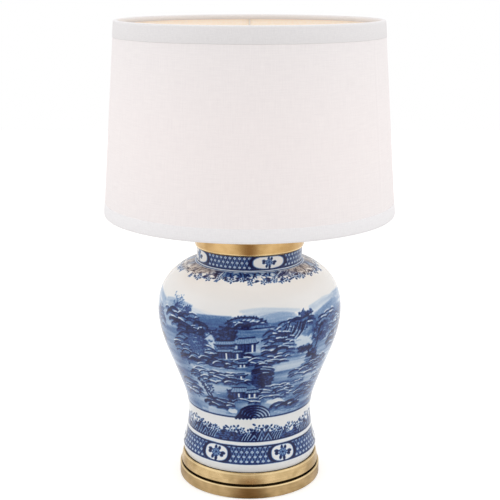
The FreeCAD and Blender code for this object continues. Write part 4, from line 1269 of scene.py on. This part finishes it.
    def shore_side(self, sheet: Motif) -> None:
        """Paints one of the quieter sides: far hills, islands, trees and a boat."""
        sheet.sweep((-80, 84), (20, 90), 16, WASH, 8, 6)
        sheet.sweep((0, 80), (80, 88), 14, MID, 7, 5)
        sheet.hill((30, 62), 56, 20)
        sheet.strata((-40, 58), 76, 22, MID, -0.08)
        sheet.crown((-56, 70), 26, 16, DEEP)
        sheet.strata((-34, 30), 60, 26, DEEP)
        sheet.hall((-46, 36), 22, 8, 7)
        sheet.crown((-14, 44), 16, 22)
        sheet.strata((20, 6), 90, 16, MID)
        sheet.twigs((34, 8), 14, 36, 26)
        sheet.ripples((0, -14), 90, 22, 20)
        sheet.blot((4, -14), 44, 12, PALE, 0.4, 9.0, 3.0, 0.8, 5)
        sheet.brush([(-16, -13), (-4, -17), (10, -17), (20, -12)], 3.0, DARK, 1.2)
        sheet.brush([(-2, -16), (0, -5)], 1.2, DARK)
        sheet.strata((-34, -34), 74, 18, MID)
        sheet.strata((28, -46), 66, 26, DEEP)
        sheet.crown((40, -28), 26, 22)
        sheet.ripples((0, -66), 100, 18, 18)
        sheet.strata((-10, -80), 90, 12, DEEP)

    def far_hills(self, sheet: Motif) -> None:
        """Paints the top of the main view: sky, far hills, woods and a slope with folds."""
        for start, end, wide, tone, arch in (
            ((-168, 18), (-92, 22), 18, 0.24, 3), ((-120, 20), (-44, 12), 14, 0.12, 2),
            ((-112, 8), (-6, 14), 13, 0.58, 1), ((-96, 0), (0, 4), 10, 0.62, 0),
            ((-10, 20), (84, 20), 16, 0.17, 5), ((14, 12), (74, 14), 16, 0.36, 4),
            ((26, 3), (156, 6), 12, 0.60, 2), ((-60, -6), (80, -4), 10, 0.54, 0),
            ((90, 20), (170, 26), 16, 0.17, 3), ((104, 8), (176, 18), 16, 0.40, 2),
        ):
            sheet.sweep(start, end, wide, tone, 12, arch, 0.85)
        sheet.twigs((-124, 12), -6, 20, 24, MID)
        sheet.crown((-112, 20), 40, 12, DEEP)
        sheet.strata((-112, 6), 88, 20, DEEP, -0.10)
        sheet.strata((-88, -10), 92, 16, DEEP, -0.14, 0.3)
        sheet.crown((-62, -8), 30, 14, DARK, 0.1)
        sheet.hill((-4, 3), 74, 17)
        sheet.crown((90, 16), 22, 12, DARK, 0.1)
        sheet.strata((78, 4), 56, 16, DEEP, 0.16, 0.25)
        sheet.strata((44, -6), 52, 22, MID, 0.42, 0.4)
        for line in range(8):
            fold = [
                (44 + line * 4.6 + 12 * share ** 0.6, -15 + 20 * share + 3 * math.sin(line * 1.9))
                for share in QUARTERS
            ]
            sheet.brush(fold, 2.4, DARK, 1.6)
            sheet.brush([(x + 2.2, y) for x, y in fold], 1.2, PALE, 0.9, 0.8)
        sheet.crown((120, -16), 40, 34, 0.72, 0.25, 8.0)
        sheet.twigs((112, -40), 6, 34, 24, DARK)
        sheet.strata((136, 6), 50, 12, MID, 0.1)

    def halls(self, sheet: Motif) -> None:
        """Paints the middle of the main view: water, tall trees, halls and the terraced island."""
        for middle, wide, high, count, tone in (
            ((-90, -40), 70, 60, 20, DEEP), ((70, -50), 80, 50, 22, MID),
            ((84, -20), 60, 40, 12, BARE), ((-80, -60), 60, 60, 14, BARE),
            ((0, -34), 60, 30, 10, MID), ((60, -90), 70, 24, 10, DEEP),
        ):
            sheet.ripples(middle, wide, high, count, tone)
        sheet.blot((80, 18), 34, 20, 0.08, 0.9, 7.0, 4.0, 0.85, 15)
        sheet.ripples((84, 16), 44, 24, 9, MID)
        sheet.blot((-57, 22), 14, 26, 0.08, 0.8, 5.0, 3.0, 0.85, 16)
        sheet.strata((-92, 4), 78, 44, MID, 0.0, 0.35)
        sheet.crown((-82, 12), 26, 34, 0.66, 0.4, 7.0)
        sheet.twigs((-72, -8), 6, 34, 22)
        sheet.crown((-31, 35), 24, 24, DARK, 0.1, 8.0)
        sheet.strata((-24, -4), 70, 22, DEEP, 0.0, 0.35)
        sheet.hall((-47, 13), 26, 5, 7, ())
        sheet.hall((-16, 7), 24, 14, 10, (0.84,))
        sheet.hall((-46, -6), 24, 12, 6)
        sheet.hall((-23, -4), 12, 11, 5, (0.45,))
        sheet.strata((42, 12), 50, 52, DEEP, 0.02, 0.7, 6.5)
        sheet.strata((6, -10), 60, 18, DEEP, 0.0, 0.55)
        sheet.hall((-17, -19), 12, 6, 5, (0.3, 0.75))
        sheet.crown((86, 5), 28, 9, DARK, 0.0, 8.0)
        sheet.crown((104, -14), 20, 30, DARK, 0.15, 8.0)
        sheet.brush([(96, -26), (100, -8), (92, 4)], 4.0, DARK, 2.0)
        sheet.strata((-72, -18), 96, 18, DEEP, -0.04, 0.35)
        sheet.strata((118, -26), 66, 18, MID, 0.06, 0.4)

    def terraces(self, sheet: Motif) -> None:
        """Paints the lower part of the main view: terraces, the great tree and bright water."""
        sheet.sweep((-96, 20), (0, 17), 9, 0.2, 7, 0, 0.6)
        sheet.sweep((30, 24), (90, 26), 14, 0.16, 8, 0, 0.7)
        sheet.strata((-54, 2), 92, 26, MID, -0.02, 0.6)
        sheet.strata((-20, -4), 44, 10, DEEP, 0.0, 0.3)
        sheet.hall((-17, 4), 10, 6, 4)
        sheet.brush([(18, -16), (19, 2)], 5.0, DARK, 3.0)
        sheet.crown((19, 6), 32, 42, DARK, 0.0, 9.0)
        sheet.strata((18, 20), 26, 16, DARK, 0.0, 0.4, 4.5)
        sheet.strata((90, 8), 66, 18, MID, 0.05, 0.3)
        sheet.strata((62, -12), 60, 8, WASH, 0.1)
        sheet.sweep((-92, -20), (-22, -18), 13, 0.17, 9)

    def near_shore(self, sheet: Motif) -> None:
        """Paints the foot of the main view: near shores, a gate house and the bridge."""
        sheet.twigs((-58, 2), -10, 26, 20, DARK)
        sheet.brush([(-66, 16), (-64, 8), (-52, 3), (-38, 2)], 2.0, DARK, 1.2)
        sheet.strata((34, 18), 60, 28, MID, 0.0, 0.75)
        sheet.crown((-25, 12), 10, 30, DARK, 0.0, 7.0)
        sheet.hall((-24, 4), 20, 16, 10, (0.45,))
        sheet.hall((-4, 10), 16, 9, 7, (0.25, 0.7))
        sheet.strata((-6, 2), 42, 12, MID, 0.0, 0.4)
        sheet.blot((39, 1), 28, 11, 0.05, 0.4, 6.0, 2.0, 0.95, 20)
        sheet.strata((-50, -5), 52, 18, DEEP, -0.05, 0.35)
        sheet.strata((58, -9), 62, 12, DARK, 0.06, 0.1)
        sheet.strata((92, 10), 44, 26, MID, 0.0, 0.3)
        sheet.strata((-96, 14), 44, 30, MID, 0.0, 0.3)
        sheet.sweep((-84, -20), (-26, -20), 8, 0.15, 5)
        sheet.ripples((60, -20), 50, 8, 12)
        sheet.blot((-26, -16), 14, 9, 0.04, 0.5, 5.0, 1.5, 0.9, 21)
        sheet.bridge((7, -27), 25)


# Sub-assemblies

@dataclass
class GingerJar:
    """The porcelain jar, as one closed shell with its painted outer face."""

    outline: tuple[Point, ...] = (
        (103.0, 40.2), (106.1, 51.0), (104.3, 62.0), (99.8, 79.0), (97.6, 98.0), (97.3, 116.0),
        (100.6, 138.0), (109.0, 163.0), (119.8, 191.0), (130.8, 219.0), (138.7, 245.0), (142.3, 272.0),
        (140.3, 295.0), (132.7, 315.5), (120.3, 331.0), (104.7, 342.8), (90.0, 349.2), (82.8, 351.0),
    )
    neck_radius: float = 81.4
    neck_fillet: float = 1.4
    mouth_top: float = 394.8
    lip_round: float = 1.2
    wall: float = 6.0
    floor_bottom: float = 50.0
    floor_top: float = 57.0
    foot_rim: float = 12.0
    rod_hole: float = 7.0
    # The cells are a little finer than the render's pixels, so that a brush line stays sharp
    cell: float = 1.15
    columns: int = 720

    def outer_face(self) -> Array:
        """Returns the outer profile from the foot to the mouth's lip, evenly spaced."""
        fillet = [
            (self.neck_radius + self.neck_fillet * (1 - math.sin(turn)),
             self.outline[-1][1] + self.neck_fillet * (1 - math.cos(turn)))
            for turn in (math.pi / 6, math.pi / 3, math.pi / 2)
        ]
        top = self.mouth_top - self.lip_round
        start = fillet[-1][1]
        steps = int((top - start) / self.cell)
        neck = [(self.neck_radius, start + (top - start) * step / steps) for step in range(1, steps + 1)]
        return np.concatenate([through(self.outline, self.cell), fillet, neck])

    def inner_face(self, outer: Array) -> Array:
        """Returns the rest of the section: lip, inside, floor and foot rim.

        Args:
            outer: the outer profile from the foot to the lip.
        """
        neck, top, turn = self.neck_radius, self.mouth_top, self.lip_round
        inner_neck = neck - self.wall
        lip = [
            (neck - 0.4, top - 0.35), (neck - turn, top), (inner_neck + turn, top), (inner_neck, top - turn),
        ]
        run = np.gradient(outer, axis=0)
        run /= np.hypot(run[:, 0], run[:, 1])[:, None]
        moved = outer + np.stack([-run[:, 1], run[:, 0]], axis=1) * self.wall
        below = self.outline[-1][1] - self.wall - 1.5
        keep = (moved[:, 1] > self.floor_top + 3) & (moved[:, 1] < below) & (moved[:, 0] > inner_neck + 1)
        # The unseen inside needs only every sixth point
        inside = moved[keep][::-6]
        foot_inner = self.outline[0][0] - self.foot_rim
        floor = [
            (inside[-1][0] - 5.0, self.floor_top), (self.rod_hole, self.floor_top),
            (self.rod_hole, self.floor_bottom), (foot_inner, self.floor_bottom),
            (foot_inner + 2.0, self.outline[0][1]),
        ]
        return np.concatenate([lip, [(inner_neck, below + 1.5)], inside, floor])

    def build(self) -> None:
        """Makes the jar's mesh, paints it and puts it in place."""
        outer = self.outer_face()
        profile = np.concatenate([outer, self.inner_face(outer)])
        piece = revolved("jar_painted", profile, self.columns)
        rises = np.concatenate([[0.0], np.cumsum(np.hypot(*np.diff(outer, axis=0).T))])
        canvas = Canvas(rises, outer[:, 0], self.columns)
        Decoration(canvas).paint()
        for name, values in (("ink", canvas.ink), ("umber", canvas.umber)):
            every = np.zeros((self.columns, len(profile)), np.float32)
            every[:, :len(outer)] = values.T
            piece.data.attributes.new(name, "FLOAT", "POINT").data.foreach_set("value", every.ravel())
        place(piece, PORCELAIN, "porcelain", "lamp_body", "jar")


@dataclass
class LampBase:
    """The two-tier base, with its felt, its block and the threaded tube that clamps the lamp."""

    felt_radius: float = 106.6
    felt_hole: float = 20.0
    felt_thickness: float = 2.0
    columns: int = 360

    def felt(self) -> Piece:
        """Returns the felt ring, whose cut edge is slightly furry and uneven."""
        rim, hole, thick = self.felt_radius, self.felt_hole, self.felt_thickness
        outlines, fray = cut_edge(np.array([
            (hole, 0.0), (rim - 0.5, 0.0), (rim - 0.1, 0.35), (rim, 1.0), (rim - 0.2, 1.7),
            (rim - 0.6, thick), (hole + 0.3, thick), (hole - 0.1, 1.0),
        ]), self.columns, 40.0, 0.0, 1.6, 5)
        outlines[:, 1:6, 0] += fray
        return revolved("felt_ring", outlines, self.columns)

    def build(self) -> None:
        """Dresses the base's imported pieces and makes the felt."""
        dress(BASE_BRASS, "base_skirt")
        dress(MOULDING_BRASS, "base_moulding")
        dress(BLOCK_WOOD, "base_block")
        dress(BUSHING_PLASTIC, "cord_bushing")
        dress(ZINC, "threaded_rod", "rod_washers", "lock_washer", "base_nut", "cap_nut")
        dress(RUBBER, "foot_gasket", "neck_gasket")
        felt = self.felt()
        place(felt, BASE_FELT, "felt", "lamp_body", "felt_pad")


class LampTop:
    """What stands on the jar: neck cap, harp, lampholder with its switch, and the bulb."""

    def build(self) -> None:
        """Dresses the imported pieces."""
        dress(CAP_BRASS, "neck_cap")
        dress(HARP_BRASS, "harp", "harp_saddle")
        dress(FITTING_BRASS, "sleeve_left", "sleeve_right", "holder_cap", "holder_shell", "switch_shaft")
        dress(FITTING_BRASS, "terminal_screws", "centre_contact")
        dress(LINER_FIBRE, "holder_liner")
        dress(PHENOLIC, "holder_body")
        dress(KNOB_PLASTIC, "switch_knob")
        dress(ALUMINIUM, "screw_shell", "bulb_cap")
        dress(FROSTED_GLASS, "bulb_glass")
        dress(BLACK_GLASS, "bulb_insulator")
        dress(SOLDER, "bulb_contact")
        dress(CLEAR_GLASS, "bulb_stem")
        dress(TUNGSTEN, "bulb_filament")
        dress(FINIAL_BRASS, "finial_bush", "finial_knob")


@dataclass
class Shade:
    """The tapered drum: linen on film, taped hems and a white wire frame."""

    bottom: float = 426.5
    top: float = 715.0
    bottom_radius: float = 221.0
    top_radius: float = 199.6
    cloth: float = 0.6
    edge_room: float = 2.6
    tape: float = 0.5
    tape_roll: float = 2.3
    top_tape: float = 24.5
    bottom_tape: float = 20.5
    flap: float = 8.0
    ring_inset: float = 3.6
    wire: float = 1.8
    strut_angles: Place = (-60.0, 60.0, 180.0)
    ridge: float = 0.3
    ridge_width: float = 2.2
    seam_angle: float = -170.0
    seam_overlap: float = 12.0
    columns: int = 480
    rows: int = 48

    def radius(self, height: float | Array) -> float | Array:
        """Returns the cloth's outer radius at a height."""
        share = (height - self.bottom) / (self.top - self.bottom)
        return self.bottom_radius + share * (self.top_radius - self.bottom_radius)

    def cover(self) -> Piece:
        """Returns the cloth, drawn over the three struts and lapped at the back."""
        degrees = degrees_round(self.columns)
        heights = np.linspace(self.bottom + self.edge_room, self.top - self.edge_room, self.rows)
        sides = [np.stack([self.radius(heights) - inset, heights], axis=1) for inset in (0.0, self.cloth)]
        outer, inner = [np.repeat(side[None], self.columns, axis=0) for side in sides]
        for angle in self.strut_angles:
            aside = np.abs((degrees - angle + 180.0) % 360.0 - 180.0) * self.bottom_radius * math.pi / 180
            outer[..., 0] += (self.ridge * np.exp(-(aside / self.ridge_width) ** 2))[:, None]
        aside = np.abs(degrees - self.seam_angle) * self.bottom_radius * math.pi / 180
        outer[..., 0] += np.where(aside < self.seam_overlap / 2, self.cloth * 0.6, 0.0)[:, None]
        return revolved("shade_cloth", np.concatenate([outer, inner[:, ::-1]], axis=1), self.columns)

    def hem(self, name: str, edge: float, far: float, seed: int) -> Piece:
        """Makes a tape that is folded over the shade's edge and the frame's ring.

        Args:
            name: the piece's name.
            edge: height of the shade's edge.
            far: height of the tape's other edge on the outside.
            seed: picks how the tape's edge wanders.

        Returns:
            The tape.
        """
        out = 1.0 if edge > far else -1.0
        roll = edge - out * self.tape_roll
        away, near = self.radius(far) + 0.05, self.radius(roll) + 0.05
        inner = self.radius(edge) - self.ring_inset - self.wire - 0.1
        thick = self.tape
        puff = thick * 0.3
        outlines, waver = cut_edge(np.array([
            (away, far), (away + thick * 0.8, far + out * 0.15), (away + thick, far + out * 0.9),
            ((away + near) / 2 + thick + puff * 0.3, (far + roll) / 2), (near + thick, roll - out * 1.0),
            (near + thick - 0.3, roll + out * 0.9), (near + thick - 1.4, edge - out * 0.25),
            (near - 2.2, edge), (inner + 1.2, edge), (inner - 0.2, edge - out * 0.5),
            (inner - thick, roll), (inner - thick, edge - out * self.flap), (inner, edge - out * self.flap),
            (inner, roll), (inner + 0.4, edge - out * thick), (near - 1.6, edge - out * thick), (near, roll),
        ]), self.columns, 210.0, seed, 24.0, seed)
        outlines[:, :3, 1] += waver
        return revolved(name, outlines if out < 0 else outlines[:, ::-1], self.columns)

    def build(self) -> None:
        """Makes cloth and tapes, and dresses the film and the frame."""
        cloth = self.cover()
        place(cloth, LINEN, "shade_linen", "shade", "shade_cover")
        for seed, (name, edge, far, node, finish) in enumerate((
            ("top_tape", self.top, self.top - self.top_tape, "top_hem", HEM_TAPE),
            ("bottom_tape", self.bottom, self.bottom + self.bottom_tape, "bottom_hem", LIT_LOWER_TAPE),
        ), 1):
            tape = self.hem(name, edge, far, seed)
            place(tape, finish, "hem_tape", "shade", node)
            round_it = math.tau * self.radius(edge) * MM
        dress(SHADE_FILM, "shade_lining")
        dress(WHITE_WIRE, "top_ring", "bottom_ring", "struts", "carrier_arms", "carrier_washer")


@dataclass
class Studio:
    """Camera, soft light, white floor and backdrop."""

    focal_pixels: float = 1134.6
    picture: float = 500.0
    sensor: float = 36.0
    camera_place: Place = (0.75, -1703.8, 783.6)
    tilt: float = 13.81
    aim_height: float = 0.38
    world_light: float = 0.9
    table_lift: float = 0.5
    table_reach: float = 4.0
    card_start: float = 0.12
    card_soft: Point = (4.0, 26.0)
    card_weights: tuple[float, ...] = (1.0, 0.3, 1.0, 0.3)

    def camera(self) -> None:
        """Sets up the camera that the photograph was taken with."""
        data = bpy.data.cameras.new("camera")
        data.sensor_width = self.sensor
        data.lens = self.focal_pixels / self.picture * self.sensor
        holder = show("camera", data)
        holder.location = Vector(self.camera_place) * MM
        holder.rotation_euler = (math.radians(90 - self.tilt), 0, 0)
        bpy.context.scene.camera = holder

    def lamp(self, name: str, spot: Place, size: Point, power: float) -> None:
        """Adds a softbox that faces the lamp's middle.

        Args:
            name: its name.
            spot: its place in metres.
            size: its width and height in metres.
            power: its power in watts.
        """
        data = bpy.data.lights.new(name, "AREA")
        data.shape = "RECTANGLE"
        data.size, data.size_y = size
        data.energy = power
        softbox = show(name, data)
        softbox.location = spot
        aim = Vector((0, 0, self.aim_height)) - Vector(spot)
        softbox.rotation_euler = aim.to_track_quat("-Z", "Y").to_euler()

    def in_view(self, tree: Tree) -> Socket:
        """Returns 1 for what the camera sees, straight or in metal and glass, and 0 for the light."""
        rays = add(tree, "LightPath").outputs
        shiny = calc(tree, "MAXIMUM", rays["Is Glossy Ray"], rays["Is Transmission Ray"])
        return calc(tree, "MAXIMUM", rays["Is Camera Ray"], shiny)

    def world(self) -> None:
        """Makes a studio that is white all round."""
        world = bpy.data.worlds.new("studio")
        world.use_nodes = True
        bpy.context.scene.world = world
        tree = world.node_tree
        strength = add(tree, "Mix", {0: self.in_view(tree), 2: self.world_light, 3: 1.0}, data_type="FLOAT")
        feed(tree.nodes["Background"], {"Color": linear("#FFFFFF"), "Strength": strength.outputs[0]})

    def stage(self, name: str, outline: Sequence[Place], material: str, colour: str) -> tuple[Piece, Node]:
        """Adds one flat piece of the studio.

        Args:
            name: its name.
            outline: its corners in metres.
            material: what it is made of.
            colour: its colour.

        Returns:
            The piece, matt and in plain colour, and its Principled node.
        """
        mesh = bpy.data.meshes.new(name)
        mesh.from_pydata(outline, [], [tuple(range(len(outline)))])
        piece = show(name, mesh)
        paint = bpy.data.materials.new(material)
        paint.use_nodes = True
        shader = paint.node_tree.nodes["Principled BSDF"]
        feed(shader, {"Base Color": linear(colour), "Roughness": 1.0, "Specular IOR Level": 0.0})
        mesh.materials.append(paint)
        return piece, shader

    def floor(self) -> None:
        """Lays a grey table top that shows as white, with the lamp's shadow on it, and is open from below."""
        far, down = self.table_reach, -0.1 * MM
        corners = [(-far, -far, down), (far, -far, down), (far, far, down), (-far, far, down)]
        _, shader = self.stage("floor", corners, "table top, matt grey paint", "#DDDCDA")
        tree = shader.id_data
        feed(shader, {
            "Emission Color": linear("#FFFFFF"),
            "Emission Strength": calc(tree, "MULTIPLY", self.in_view(tree), self.table_lift),
            "Alpha": calc(tree, "SUBTRACT", 1.0, add(tree, "NewGeometry").outputs["Backfacing"]),
        })

    def cards(self) -> None:
        """Lays brown cards on the table that show only in the brass, as the dark bands that give it form."""
        near, far = self.card_start, self.table_reach
        start, end = map(math.radians, self.card_soft)
        for turn, weight in enumerate(self.card_weights):
            middle = math.pi / 2 * turn
            corners = [
                (radius * math.sin(middle + side), -radius * math.cos(middle + side), 0.1 * MM)
                for radius, side in ((near, -end), (far, -end), (far, end), (near, end))
            ]
            card, shader = self.stage(f"card_{turn}", corners, f"card, brown paper {turn}", "#AE957A")
            card.visible_camera = card.visible_diffuse = card.visible_shadow = False
            card.visible_transmission = False
            tree = shader.id_data
            across, deep, _ = add(tree, "SeparateXYZ", {0: surface(tree)}).outputs
            # The arctangent runs from the back, so the front lies at half a turn
            apart = calc(tree, "SUBTRACT", calc(tree, "ARCTAN2", across, deep), math.pi - middle)
            aside = calc(tree, "ABSOLUTE", calc(tree, "WRAP", apart, math.pi, -math.pi))
            cover = fit(tree, aside, (start, end), (weight, 0.0), interpolation_type="SMOOTHSTEP")
            feed(shader, {"Alpha": cover})

    def build(self) -> None:
        """Sets up the whole studio."""
        bpy.context.scene.view_settings.view_transform = "Standard"
        self.camera()
        self.world()
        self.floor()
        self.cards()
        self.lamp("softbox left", (-1.9, -0.3, 1.1), (1.4, 2.0), 5)
        self.lamp("softbox right", (1.9, -0.3, 1.1), (1.4, 2.0), 5)
        self.lamp("softbox above", (0.0, -0.2, 2.4), (1.6, 1.6), 6)
        log.info("studio: camera, floor and three softboxes")


def main() -> None:
    """Builds the lamp's looks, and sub-assembly by sub-assembly."""
    logging.basicConfig(level=logging.INFO, format="%(message)s")
    for part in (Studio(), LampBase(), GingerJar(), LampTop(), Shade()):
        part.build()


if __name__ == "__main__":
    main()
